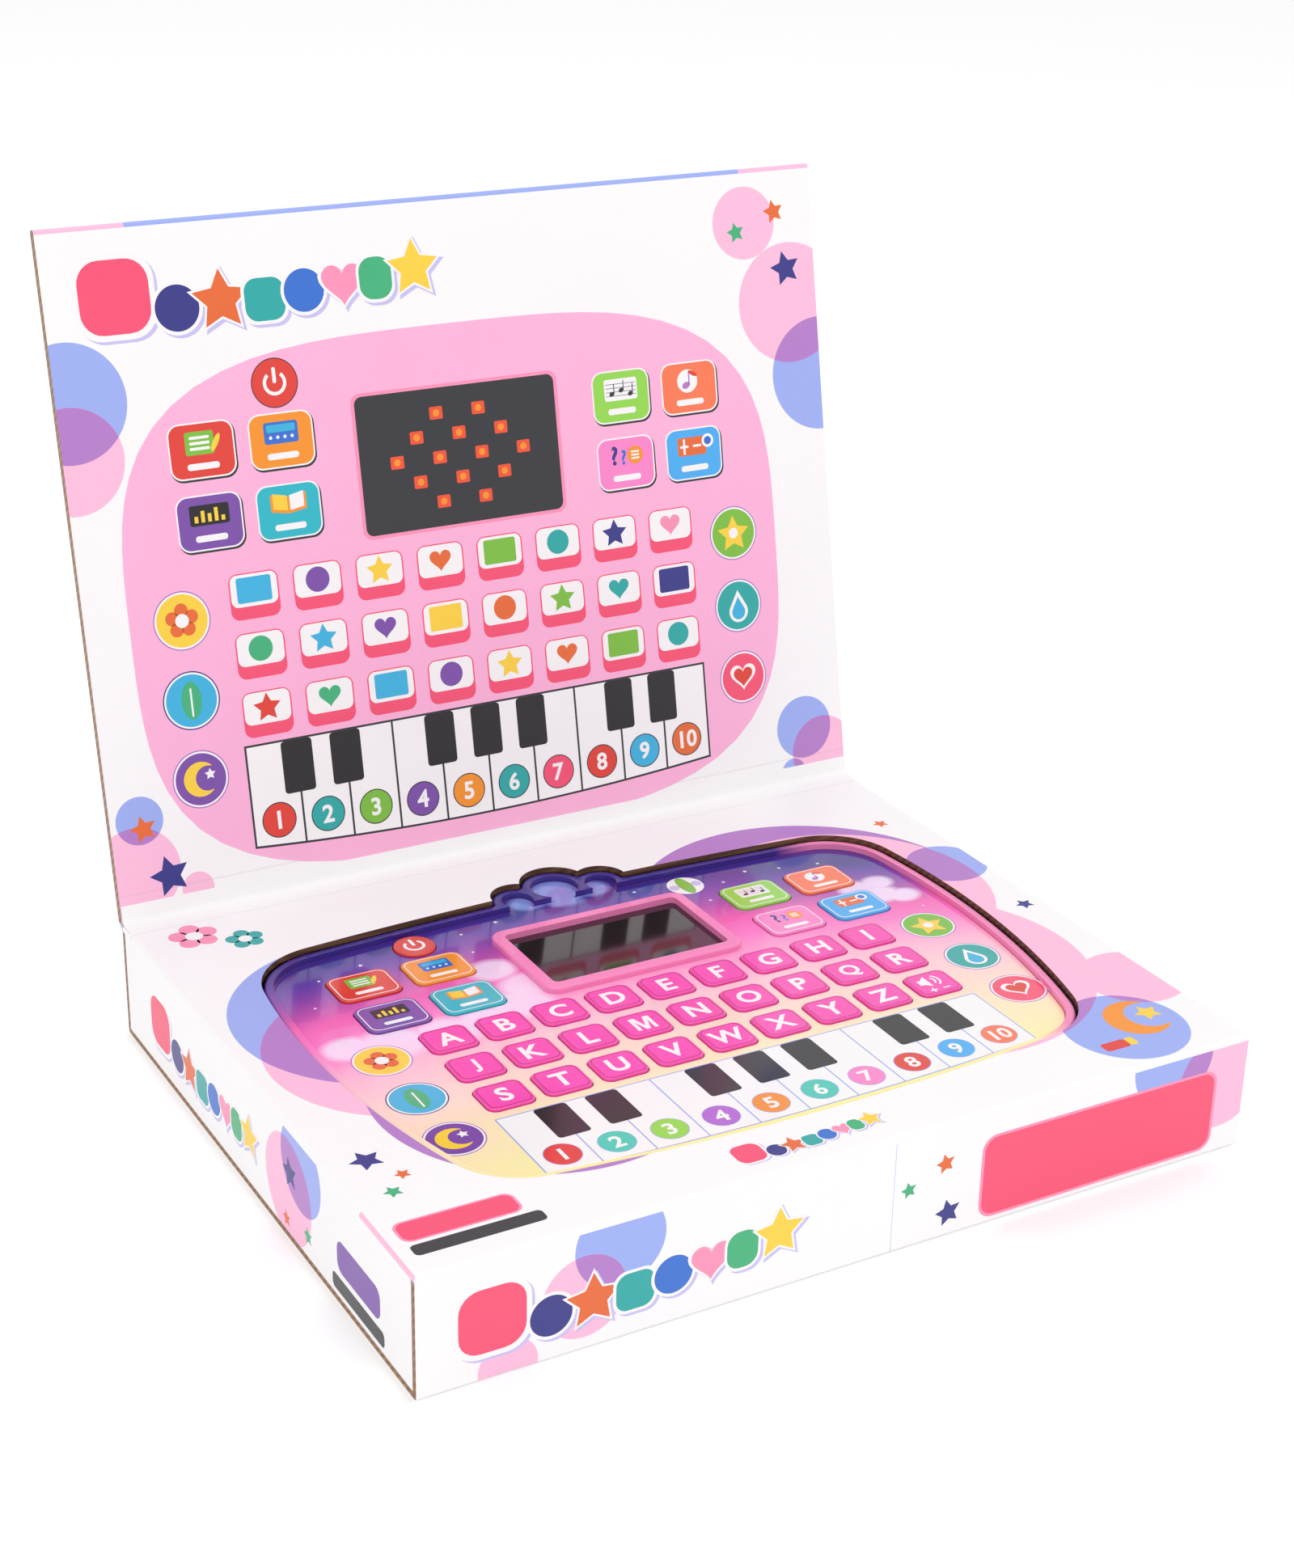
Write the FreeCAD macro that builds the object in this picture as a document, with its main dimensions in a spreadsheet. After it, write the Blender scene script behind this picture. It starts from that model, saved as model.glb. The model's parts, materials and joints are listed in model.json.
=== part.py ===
"""Toy laptop computer: a flat learning computer that lies in the window of its hinged display carton.

Millimetres, +Z up, +X to the right and +Y to the back. The origin is the centre of the carton's underside.
"""
import FreeCAD, Part
import math
import os
import re
import Sketcher
from FreeCAD import Rotation, Vector

SIZES = (
    # Carton
    ("carton_width", 280.0, "carton, left to right"),
    ("carton_depth", 225.0, "carton, front to back"),
    ("carton_height", 39.0, "carton under its lid"),
    ("board", 2.0, "thickness of the corrugated board"),
    ("fold_round", 1.2, "rounding of a folded board edge"),
    ("fit_gap", 0.3, "clearance between boards that slide in"),
    ("tuck_length", 18.0, "tuck flap of an end closure"),
    ("thumb_radius", 11.0, "thumb notch in a tuck flap"),
    ("lid_length", 221.5, "lid from crease to free edge"),
    ("lid_board", 1.7, "thickness of each of the lid's two boards"),
    ("lid_open", 101.5, "angle of the open lid from closed, degrees"),
    ("crease_gap", 0.3, "lid above the panel when closed"),
    ("fitment_height", 6.0, "stacked board pads under the computer"),
    ("fitment_inner_x", 62.0, "inner edge of a fitment pad from the centre line"),
    ("window_gap", 0.7, "window panel to computer"),
    # Outline of the computer
    ("computer_y", -7.7, "centre of the computer behind the carton's centre"),
    ("half_width", 118.0, "computer, centre line to widest point of a side"),
    ("side_arc", 285.0, "radius of the bowed sides"),
    ("side_arc_y", 20.0, "where the sides are widest"),
    ("rear_edge", 82.0, "computer, centre to rear edge"),
    ("rear_arc", 1120.0, "radius of the bowed rear edge"),
    ("front_edge", 82.0, "computer, centre to front edge"),
    ("front_arc", 705.0, "radius of the bowed front edge"),
    ("rear_corner", 24.0, "radius of the rear corners"),
    ("front_corner", 24.0, "radius of the front corners"),
    ("lobe_rise", 15.0, "cloud-shaped lobes above the rear edge"),
    ("lobe_radius", 11.2, "middle lobe"),
    ("side_lobe_radius", 8.5, "lobes at its sides"),
    ("side_lobe_x", 15.75, "side lobes from the centre line"),
    ("lobe_valley", 1.6, "rounding of the valleys between lobes"),
    # Shells of the computer
    ("foot_height", 1.0, "rubber foot below the shell"),
    ("foot_radius", 6.0, "rubber foot"),
    ("foot_recess", 0.6, "seat of a foot in the shell"),
    ("foot_x", 86.0, "feet from the centre line"),
    ("foot_rear_y", 50.0, "rear feet"),
    ("foot_front_y", -54.0, "front feet"),
    ("shell_height", 28.4, "both shells, underside to rim"),
    ("split_height", 13.0, "underside to parting line"),
    ("wall", 2.0, "side wall of the shells"),
    ("base_floor", 2.0, "floor of the bottom shell"),
    ("bottom_round", 3.0, "rounding of the lower edge"),
    ("rim_width", 3.0, "raised rim round the face"),
    ("rim_height", 1.9, "rim above the film"),
    ("rim_round", 1.0, "rounding of the rim"),
    ("deck", 1.8, "thickness of the top shell's deck"),
    ("film", 0.4, "thickness of the printed face film"),
    ("film_gap", 0.3, "film to rim"),
    ("lip_height", 2.0, "locating lip above the parting line"),
    ("lip", 1.2, "thickness of the lip"),
    ("lip_gap", 0.2, "lip to the top shell's wall"),
    ("lip_band", 3.0, "height of the thicker wall below the lip"),
    # Keys
    ("key_width", 15.5, "letter key, left to right"),
    ("key_depth", 14.2, "letter key, front to back"),
    ("key_corner", 3.0, "corner of a letter key"),
    ("key_pitch_x", 19.0, "letter keys, column to column"),
    ("key_pitch_y", 18.7, "letter keys, row to row"),
    ("key_rear_y", 9.0, "rear row of letter keys"),
    ("mode_width", 21.0, "mode button, left to right"),
    ("mode_depth", 16.8, "mode button, front to back"),
    ("mode_corner", 3.4, "corner of a mode button"),
    ("mode_x", 59.2, "inner mode buttons from the centre line"),
    ("mode_pitch_x", 25.7, "mode buttons, column to column"),
    ("mode_rear_y", 52.1, "rear row of mode buttons"),
    ("mode_pitch_y", 21.8, "mode buttons, row to row"),
    ("power_radius", 6.9, "power button"),
    ("power_x", -59.5, "power button from the centre line"),
    ("power_y", 69.5, "power button"),
    ("key_rise", 0.8, "keys above the film"),
    ("key_round", 0.5, "rounding of a key's top edge"),
    ("key_gap", 0.3, "key to its hole"),
    ("key_travel", 0.7, "travel of a pressed key"),
    ("travel_gap", 0.1, "pressed key to the mat's dome"),
    ("flange", 1.0, "thickness of a key's flange"),
    ("flange_out", 0.9, "flange beyond the key"),
    ("flange_gap", 0.1, "flange below the deck"),
    ("piano_pitch", 16.8, "plungers of the printed piano keys"),
    ("piano_y", -58.0, "row of piano plungers"),
    ("picture_x", 99.0, "plungers of the round picture keys"),
    ("picture_rear_y", 7.0, "rear picture key"),
    ("picture_pitch", 25.0, "picture keys, front to back"),
    # Key mat and circuit board
    ("mat", 1.0, "thickness of the rubber key mat"),
    ("mat_inset", 1.0, "mat inside the board's edge"),
    ("dome_height", 2.4, "dome above the mat"),
    ("dome_radius", 4.6, "foot of a dome"),
    ("dome_draft", 18.0, "slope of a dome's side, degrees"),
    ("plunger_radius", 3.5, "plunger under a printed key"),
    ("plunger_gap", 0.4, "plunger to its hole and to the film"),
    ("circuit_board", 1.6, "thickness of the main board"),
    ("circuit_half_width", 104.0, "main board, half its width"),
    ("circuit_rear_y", 75.5, "rear edge of the wings"),
    ("circuit_shoulder_y", 60.0, "rear edge beside the wings"),
    ("circuit_wing_x", 89.0, "outer edge of a wing"),
    ("circuit_notch_x", 38.0, "half the notch round the battery bay"),
    ("circuit_notch_y", 17.5, "front edge of the notch"),
    ("circuit_cheek_y", -48.0, "where the front corners are cut off"),
    ("circuit_front_y", -66.0, "front edge of the main board"),
    ("circuit_front_x", 86.0, "half the front edge"),
    ("chip_size", 12.0, "side of the chip"),
    ("chip_height", 2.0, "chip below the board"),
    ("chip_corner", 1.0, "corner of the chip"),
    ("potting_radius", 8.0, "potted chip"),
    ("potting_height", 1.6, "potted chip below the board"),
    ("potting_slope", 30.0, "side of the potting, degrees"),
    ("capacitor_radius", 3.2, "capacitor"),
    ("capacitor_height", 6.0, "capacitor below the board"),
    ("crystal_length", 11.0, "crystal can, long side"),
    ("crystal_width", 4.6, "crystal can, short side"),
    ("crystal_corner", 2.2, "corner of the crystal can"),
    ("crystal_height", 3.6, "crystal can below the board"),
    # Screws and bosses
    ("boss_radius", 3.5, "screw boss of the top shell"),
    ("boss_gap", 0.2, "boss to the post below it"),
    ("post_radius", 4.2, "screw post of the bottom shell"),
    ("rear_boss_x", 97.5, "rear bosses from the centre line"),
    ("rear_boss_y", 68.0, "rear bosses"),
    ("middle_boss_y", 74.0, "boss at the middle of the rear edge"),
    ("front_boss_x", 72.0, "front bosses from the centre line"),
    ("front_boss_y", -70.6, "front bosses"),
    ("screw_radius", 1.35, "screw shank"),
    ("screw_gap", 0.1, "shank to its hole"),
    ("screw_head_radius", 2.6, "screw head"),
    ("screw_head", 1.8, "height of a screw head"),
    ("screw_length", 11.0, "case screw below its head"),
    ("head_gap", 0.4, "screw head to its counterbore"),
    ("counterbore", 8.6, "depth of a counterbore in a post"),
    ("small_screw_length", 5.0, "board and door screws below the head"),
    ("small_boss_radius", 2.4, "board boss"),
    # Screen
    ("screen_y", 42.0, "centre of the screen"),
    ("bezel_width", 72.0, "screen frame, left to right"),
    ("bezel_depth", 44.5, "screen frame, front to back"),
    ("bezel_corner", 5.0, "corner of the screen frame"),
    ("bezel_rise", 2.2, "screen frame above the film"),
    ("bezel_frame", 4.0, "width of the frame round the window"),
    ("window_corner", 2.0, "corner of the frame's opening"),
    ("bezel_slope", 0.9, "slope of the frame towards the window"),
    ("bezel_neck", 2.0, "frame's neck inside its outer edge"),
    ("neck_gap", 0.3, "neck to the deck"),
    ("lens", 1.5, "thickness of the screen window"),
    ("lens_seat", 1.0, "window's edge under the frame"),
    ("lens_gap", 0.2, "window to the frame"),
    ("lens_drop", 2.1, "window below the frame's top"),
    ("lamp_board", 1.2, "thickness of the lamp board"),
    ("lamp_board_border", 2.0, "lamp board beyond the screen frame"),
    ("lamp_size", 3.0, "side of a lamp"),
    ("lamp_height", 0.7, "height of a lamp"),
    ("lamp_pitch", 7.0, "lamp to lamp"),
    # Battery bay and speaker
    ("cell_diameter", 14.5, "battery cell"),
    ("cell_length", 50.5, "battery cell with its knob"),
    ("cell_knob", 1.0, "height of the knob"),
    ("cell_knob_radius", 2.7, "knob"),
    ("cell_gap", 0.3, "cell to cell, door and roof"),
    ("cell_end", 4.6, "room for the contacts at each end"),
    ("cell_round", 0.8, "rounding of a cell's ends"),
    ("bay_y", 44.0, "centre of the battery bay"),
    ("bay_wall", 1.5, "walls and roof of the bay"),
    ("door_ledge", 2.5, "ledge that the door closes on"),
    ("ledge", 1.6, "thickness of the ledge"),
    ("ledge_border", 2.0, "ledge plate beyond the door"),
    ("door_gap", 0.3, "door to its opening"),
    ("door_corner", 3.0, "corner of the door"),
    ("door_tongue", 10.5, "door beyond the bay at its screw"),
    ("door_rib", 0.8, "height of the grip ribs' grooves"),
    ("door_screw_x", 37.5, "door screw from the centre line"),
    ("door_sink", 1.2, "sunk seat of the door screw's head"),
    ("contact", 0.4, "thickness of a contact leaf"),
    ("contact_width", 9.0, "contact leaf"),
    ("contact_gap", 0.1, "contact to wall and cell"),
    ("contact_clear", 1.2, "contact above the door and below the roof"),
    ("speaker_y", -40.0, "centre of the speaker"),
    ("speaker_radius", 20.0, "speaker frame"),
    ("speaker_height", 10.0, "speaker"),
    ("speaker_flange", 1.6, "thickness of the speaker's rim"),
    ("speaker_seat", 2.5, "width of the seat under the rim"),
    ("speaker_seat_height", 2.0, "seat above the shell's floor"),
    ("magnet_radius", 9.0, "speaker magnet"),
    ("magnet_height", 4.0, "speaker magnet"),
    ("cone_wall", 0.5, "thickness of the paper cone"),
    ("grille_hole", 1.5, "radius of a grille hole"),
    ("grille_ring", 5.0, "ring to ring of the grille"),
)

# Levels of the computer above its own underside, worked out from the sizes
RIM_TOP = "shell_height"
FILM_TOP = "(shell_height - rim_height)"
DECK_TOP = f"({FILM_TOP} - film)"
DECK_UNDER = f"({DECK_TOP} - deck)"
FLANGE_TOP = f"({DECK_UNDER} - flange_gap)"
FLANGE_UNDER = f"({FLANGE_TOP} - flange)"
DOME_TOP = f"({FLANGE_UNDER} - key_travel - travel_gap)"
MAT_TOP = f"({DOME_TOP} - dome_height)"
CIRCUIT_TOP = f"({MAT_TOP} - mat)"
CIRCUIT_UNDER = f"({CIRCUIT_TOP} - circuit_board)"
BEZEL_TOP = f"({FILM_TOP} + bezel_rise)"
LENS_TOP = f"({BEZEL_TOP} - lens_drop)"
BAY_ROOF = "(base_floor + cell_diameter + 2 * cell_gap)"
CELL_AXIS = "(base_floor + cell_gap + cell_diameter / 2)"
SPEAKER_BASE = "(base_floor + speaker_seat_height)"
COMPUTER_Z = "board + fitment_height + foot_height"
PANEL_UNDER = "(carton_height - board)"

LETTERS = "abcdefghijklmnopqrstuvwxyz"
KEY_COLUMNS = 9
KEY_ROWS = 3
MODE_BUTTONS = (
    ("button_letters", -2, 0),
    ("button_words", -1, 0),
    ("button_spell", -2, 1),
    ("button_read", -1, 1),
    ("button_song", 1, 0),
    ("button_music", 2, 0),
    ("button_quiz", 1, 1),
    ("button_sums", 2, 1),
)
PIANO_KEYS = 10
PICTURE_ROWS = 3
LAMP_COLUMNS = 8
LAMP_ROWS = 5
CELLS = 3
GRILLE_RINGS = 3

CASE_SCREWS = (
    ("rear_boss_x", "rear_boss_y"),
    ("-rear_boss_x", "rear_boss_y"),
    ("0", "middle_boss_y"),
    ("front_boss_x", "front_boss_y"),
    ("-front_boss_x", "front_boss_y"),
    ("0", "front_boss_y"),
)
DOOR_SCREW = ("door_screw_x", "bay_y")
BOARD_SCREWS = tuple(
    (f"{side} * {x}", y)
    for side in (1, -1)
    for x, y in (
        ("3.5 * key_pitch_x", "key_rear_y - key_pitch_y / 2"),
        ("1.5 * key_pitch_x", "key_rear_y - 1.5 * key_pitch_y"),
        ("(mode_x + mode_pitch_x / 2)", "mode_rear_y - mode_pitch_y / 2"),
    )
)

doc = FreeCAD.newDocument("toy_laptop_computer")
sheet = doc.addObject("Spreadsheet::Sheet", "Sizes")
ALIASES = re.compile(r"\b(" + "|".join(alias for alias, _, _ in SIZES) + r")\b")
parts = []


def fill_sheet():
    for row, (alias, size, note) in enumerate(SIZES, start=1):
        sheet.set(f"A{row}", note)
        sheet.set(f"B{row}", str(size))
        sheet.setAlias(f"B{row}", alias)
    doc.recompute()


def value(expression):
    """The number that an expression on the sheet's sizes gives."""
    return float(sheet.evalExpression(expression))


def bind(item, prop, expression):
    """Ties a property to an expression on the sheet's sizes."""
    item.setExpression(prop, ALIASES.sub(r"Sizes.\1", expression))


# Bodies and sketches


def new_body(label, x="0", y="0", z="0"):
    body = doc.addObject("PartDesign::Body", label)
    body.Label = label
    for axis, place in zip("xyz", (x, y, z)):
        bind(body, f"Placement.Base.{axis}", place)
    parts.append(body)
    return body


def computer_body(label, x="0", y="0"):
    """A body whose own origin is under (x, y) of the computer, on the level of its underside."""
    return new_body(label, x, f"computer_y + {y}", COMPUTER_Z)


def new_sketch(body, level="0", role="XY_Plane"):
    sketch = body.newObject("Sketcher::SketchObject", f"{body.Label}_sketch")
    plane = next(item for item in body.Origin.OriginFeatures if item.Role == role)
    sketch.AttachmentSupport = [(plane, "")]
    sketch.MapMode = "FlatFace"
    bind(sketch, "AttachmentOffset.Base.z", level)
    return sketch


def hold(sketch, kind, expression, *where):
    """Adds a dimension and ties it to the sizes."""
    dimension = Sketcher.Constraint(kind, *where, value(expression))
    dimension.Name = f"size_{sketch.ConstraintCount}"
    sketch.addConstraint(dimension)
    bind(sketch, f"Constraints.{dimension.Name}", expression)


def hold_point(sketch, geometry, position, x, y):
    hold(sketch, "DistanceX", x, -1, 1, geometry, position)
    hold(sketch, "DistanceY", y, -1, 1, geometry, position)


def polygon(sketch, corners):
    """Straight-sided outline through corners given as expressions."""
    points = [Vector(value(x), value(y), 0) for x, y in corners]
    first = sketch.GeometryCount
    count = len(points)
    for i in range(count):
        sketch.addGeometry(Part.LineSegment(points[i], points[(i + 1) % count]))
    for i, (x, y) in enumerate(corners):
        before = first + (i - 1) % count
        sketch.addConstraint(Sketcher.Constraint("Coincident", before, 2, first + i, 1))
        hold_point(sketch, first + i, 1, x, y)


def rectangle(sketch, left, right, front, rear):
    polygon(sketch, ((left, front), (right, front), (right, rear), (left, rear)))


def circle(sketch, x, y, radius):
    centre = Vector(value(x), value(y), 0)
    index = sketch.addGeometry(Part.Circle(centre, Vector(0, 0, 1), value(radius)))
    hold_point(sketch, index, 3, x, y)
    hold(sketch, "Radius", radius, index)


def add_arc(sketch, centre, radius, start, end):
    if end < start:
        end += 2 * math.pi
    ring = Part.Circle(centre, Vector(0, 0, 1), radius)
    return sketch.addGeometry(Part.ArcOfCircle(ring, start, end))


def rounded(sketch, x, y, width, depth, corner):
    """Rectangle with round corners about (x, y)."""
    arcs = []
    for i, (side, rear) in enumerate(((1, 1), (-1, 1), (-1, -1), (1, -1))):
        cx = f"{x} + {side} * ({width} / 2 - {corner})"
        cy = f"{y} + {rear} * ({depth} / 2 - {corner})"
        centre = Vector(value(cx), value(cy), 0)
        start = i * math.pi / 2
        arc = add_arc(sketch, centre, value(corner), start, start + math.pi / 2)
        arcs.append(arc)
        hold_point(sketch, arc, 3, cx, cy)
        hold(sketch, "Radius", corner, arc)
    for arc, following in zip(arcs, arcs[1:] + arcs[:1]):
        ends = sketch.getPoint(arc, 2), sketch.getPoint(following, 1)
        line = sketch.addGeometry(Part.LineSegment(*ends))
        sketch.addConstraint(Sketcher.Constraint("Tangent", arc, 2, line, 1))
        sketch.addConstraint(Sketcher.Constraint("Tangent", line, 2, following, 1))


def bearing(origin, target):
    return math.atan2(target.y - origin.y, target.x - origin.x)


def corner_centre(one, other, quadrant):
    """Where circles (centre, radius) cross, on the side that the quadrant's signs give."""
    (centre_a, radius_a), (centre_b, radius_b) = one, other
    apart = centre_b - centre_a
    length = apart.Length
    along = (radius_a**2 - radius_b**2 + length**2) / (2 * length)
    across = math.sqrt(radius_a**2 - along**2)
    unit = apart / length
    normal = Vector(-unit.y, unit.x, 0)
    sites = [centre_a + unit * along + normal * across * sign for sign in (1, -1)]
    return max(sites, key=lambda site: site.dot(Vector(*quadrant, 0)))


def outline(sketch, grow):
    """The computer's outline of four bowed sides and four round corners, moved out by grow."""
    sides = (
        ("half_width - side_arc", "side_arc_y", f"side_arc + {grow}"),
        ("0", "rear_edge - rear_arc", f"rear_arc + {grow}"),
        ("side_arc - half_width", "side_arc_y", f"side_arc + {grow}"),
        ("0", "front_arc - front_edge", f"front_arc + {grow}"),
    )
    corners = [f"{name} + {grow}" for name in ("rear_corner", "rear_corner", "front_corner", "front_corner")]
    quadrants = ((1, 1), (-1, 1), (-1, -1), (1, -1))
    rings = [(Vector(value(x), value(y), 0), value(radius)) for x, y, radius in sides]
    centres = []
    for i, corner in enumerate(corners):
        inner = [(centre, radius - value(corner)) for centre, radius in (rings[i], rings[(i + 1) % 4])]
        centres.append(corner_centre(*inner, quadrants[i]))
    arcs = []
    for i, (centre, radius) in enumerate(rings):
        following = rings[(i + 1) % 4][0]
        side = add_arc(sketch, centre, radius, bearing(centre, centres[i - 1]), bearing(centre, centres[i]))
        hold_point(sketch, side, 3, sides[i][0], sides[i][1])
        hold(sketch, "Radius", sides[i][2], side)
        turn = add_arc(
            sketch, centres[i], value(corners[i]), bearing(centre, centres[i]), bearing(following, centres[i])
        )
        hold(sketch, "Radius", corners[i], turn)
        arcs += [side, turn]
    for arc, following in zip(arcs, arcs[1:] + arcs[:1]):
        sketch.addConstraint(Sketcher.Constraint("Tangent", arc, 2, following, 1))


def middle_lobe(sketch, grow):
    circle(sketch, "0", "rear_edge + lobe_rise - lobe_radius", f"lobe_radius + {grow}")


def side_lobes(sketch, grow):
    for side in (1, -1):
        circle(sketch, f"{side} * side_lobe_x", "rear_edge", f"side_lobe_radius + {grow}")


# Features


def finish_feature(body, feature):
    body.Tip = feature
    doc.recompute([feature])
    return feature


def pad(body, sketch, length, down=False, draft=None):
    feature = body.newObject("PartDesign::Pad", f"{body.Label}_pad")
    feature.Profile = sketch
    feature.Reversed = down
    bind(feature, "Length", length)
    if draft:
        bind(feature, "TaperAngle", draft)
    return finish_feature(body, feature)


def pocket(body, sketch, length, up=False):
    before = body.Tip.Shape.Volume
    feature = body.newObject("PartDesign::Pocket", f"{body.Label}_pocket")
    feature.Profile = sketch
    feature.Reversed = up
    bind(feature, "Length", length)
    finish_feature(body, feature)
    if feature.Shape.Volume >= before:
        raise RuntimeError(f"{feature.Label} cuts nothing")
    return feature


def lobed(make, body, level, grow, length, **options):
    """Pads or pockets the whole outline with its lobes."""
    for draw in (outline, middle_lobe, side_lobes):
        sketch = new_sketch(body, level)
        draw(sketch, grow)
        make(body, sketch, length, **options)


def grid(body, feature, columns, pitch_x, rows=1, pitch_y="0"):
    """Repeats a feature in columns to the right and rows to the front."""
    axes = {item.Role: item for item in body.Origin.OriginFeatures}
    pattern = body.newObject("PartDesign::LinearPattern", f"{body.Label}_grid")
    pattern.Originals = [feature]
    pattern.Direction = (axes["X_Axis"], [""])
    pattern.Mode = "Spacing"
    pattern.Occurrences = columns
    bind(pattern, "Offset", pitch_x)
    if rows > 1:
        pattern.Direction2 = (axes["Y_Axis"], [""])
        pattern.Reversed2 = True
        pattern.Mode2 = "Spacing"
        pattern.Occurrences2 = rows
        pattern.Spacings2 = [-1.0] * (rows - 1)
        bind(pattern, "Offset2", pitch_y)
    return finish_feature(body, pattern)


def round_edges(body, chosen, radius):
    base = body.Tip
    names = [f"Edge{i}" for i, edge in enumerate(base.Shape.Edges, start=1) if chosen(edge)]
    feature = body.newObject("PartDesign::Fillet", f"{body.Label}_round")
    feature.Base = (base, names)
    bind(feature, "Radius", radius)
    return finish_feature(body, feature)


def at_level(expression):
    """Chooses the edges that lie on a level."""
    level = value(expression)
    return lambda edge: all(abs(point.z - level) < 1e-4 for point in edge.discretize(5))


def lobe_valleys(edge):
    """Chooses the upright edges in the valleys beside the lobes."""
    ends = [vertex.Point for vertex in edge.Vertexes]
    upright = len(ends) == 2 and abs(ends[0].x - ends[1].x) < 1e-4 and abs(ends[0].y - ends[1].y) < 1e-4
    if not upright or abs(ends[0].x) > value("side_lobe_x + side_lobe_radius") + 0.5:
        return False
    return ends[0].y > value("rear_edge") - value("side_lobe_radius") and abs(ends[0].x) > 1e-3


def circles(body, level, places, radius):
    sketch = new_sketch(body, level)
    for x, y in places:
        circle(sketch, x, y, radius)
    return sketch


def key_holes(body, level, gap, depth):
    """Cuts the holes of all keys downwards from a level."""
    letters = new_sketch(body, level)
    rounded(
        letters, f"-{(KEY_COLUMNS - 1) / 2} * key_pitch_x", "key_rear_y",
        f"(key_width + 2 * {gap})", f"(key_depth + 2 * {gap})", f"(key_corner + {gap})",
    )
    grid(body, pocket(body, letters, depth), KEY_COLUMNS, "key_pitch_x", KEY_ROWS, "key_pitch_y")
    for left in ("-mode_x - mode_pitch_x", "mode_x"):
        mode = new_sketch(body, level)
        rounded(
            mode, left, "mode_rear_y",
            f"(mode_width + 2 * {gap})", f"(mode_depth + 2 * {gap})", f"(mode_corner + {gap})",
        )
        grid(body, pocket(body, mode, depth), 2, "mode_pitch_x", 2, "mode_pitch_y")
    pocket(body, circles(body, level, [("power_x", "power_y")], f"power_radius + {gap}"), depth)


def picture_places():
    rows = [f"picture_rear_y - {row} * picture_pitch" for row in range(PICTURE_ROWS)]
    return [(f"{side} * picture_x", y) for side in (1, -1) for y in rows]


def piano_start():
    return f"-{(PIANO_KEYS - 1) / 2} * piano_pitch"


# Carton


def carton_sleeve():
    """Floor, front and back wall of one folded board."""
    body = new_body("carton_sleeve", x="-carton_width / 2")
    half = "carton_depth / 2"
    sketch = new_sketch(body, role="YZ_Plane")
    polygon(
        sketch,
        (
            (f"-{half}", "0"), (half, "0"), (half, PANEL_UNDER), (f"{half} - board", PANEL_UNDER),
            (f"{half} - board", "board"), (f"board - {half}", "board"),
            (f"board - {half}", PANEL_UNDER), (f"-{half}", PANEL_UNDER),
        ),
    )
    pad(body, sketch, "carton_width")

    def lower_folds(edge):
        ends = [vertex.Point for vertex in edge.Vertexes]
        return all(abs(end.z) < 1e-4 for end in ends) and abs(ends[0].x - ends[1].x) > 1

    round_edges(body, lower_folds, "fold_round")


def window_panel():
    """Top panel with the window that the computer lies in."""
    body = new_body("window_panel")
    sketch = new_sketch(body, PANEL_UNDER)
    rectangle(sketch, "-carton_width / 2", "carton_width / 2", "-carton_depth / 2", "carton_depth / 2")
    pad(body, sketch, "board")
    round_edges(body, at_level("carton_height"), "fold_round")
    for draw in (outline, middle_lobe, side_lobes):
        cut = new_sketch(body, "carton_height")
        bind(cut, "AttachmentOffset.Base.y", "computer_y")
        draw(cut, "window_gap")
        pocket(body, cut, "board")


def end_closure(label, side):
    """End wall that hangs from the panel, with its tuck flap on the floor."""
    body = new_body(label, y="carton_depth / 2 - board - fit_gap")
    outside = f"{side} * carton_width / 2"
    inside = f"{side} * (carton_width / 2 - board)"
    tip = f"{side} * (carton_width / 2 - board - tuck_length)"
    sketch = new_sketch(body, role="XZ_Plane")
    polygon(
        sketch,
        (
            (outside, "board"), (tip, "board"), (tip, "2 * board"),
            (inside, "2 * board"), (inside, PANEL_UNDER), (outside, PANEL_UNDER),
        ),
    )
    pad(body, sketch, "carton_depth - 2 * board - 2 * fit_gap")
    thumb = new_sketch(body, "2 * board")
    circle(thumb, tip, "board + fit_gap - carton_depth / 2", "thumb_radius")
    pocket(body, thumb, "board")


def toy_fitment():
    """Two pads of stacked board that lift the computer to the window."""
    body = new_body("toy_fitment", z="board")
    outer = "(carton_width / 2 - board - tuck_length - fit_gap)"
    half_depth = "(carton_depth / 2 - board - fit_gap)"
    sketch = new_sketch(body)
    rectangle(sketch, "fitment_inner_x", outer, f"-{half_depth}", half_depth)
    rectangle(sketch, f"-{outer}", "-fitment_inner_x", f"-{half_depth}", half_depth)
    pad(body, sketch, "fitment_height")


def lid_board(label, level, free_edge):
    """One board of the open lid, drawn closed about the crease and turned open."""
    body = new_body(label, y="carton_depth / 2", z="carton_height + crease_gap")
    body.Placement.Rotation = Rotation(Vector(-1, 0, 0), value("lid_open"))
    bind(body, "Placement.Rotation.Angle", "lid_open")
    sketch = new_sketch(body, level)
    rectangle(sketch, "-carton_width / 2", "carton_width / 2", "-lid_length", "-crease_gap")
    pad(body, sketch, "lid_board")
    level_of_fold = value(free_edge)

    def fold(edge):
        ends = [vertex.Point for vertex in edge.Vertexes]
        return all(abs(e.y + value("lid_length")) < 1e-4 and abs(e.z - level_of_fold) < 1e-4 for e in ends)

    round_edges(body, fold, "min(fold_round; 0.8 * lid_board)")


# Shells and face of the computer


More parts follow.
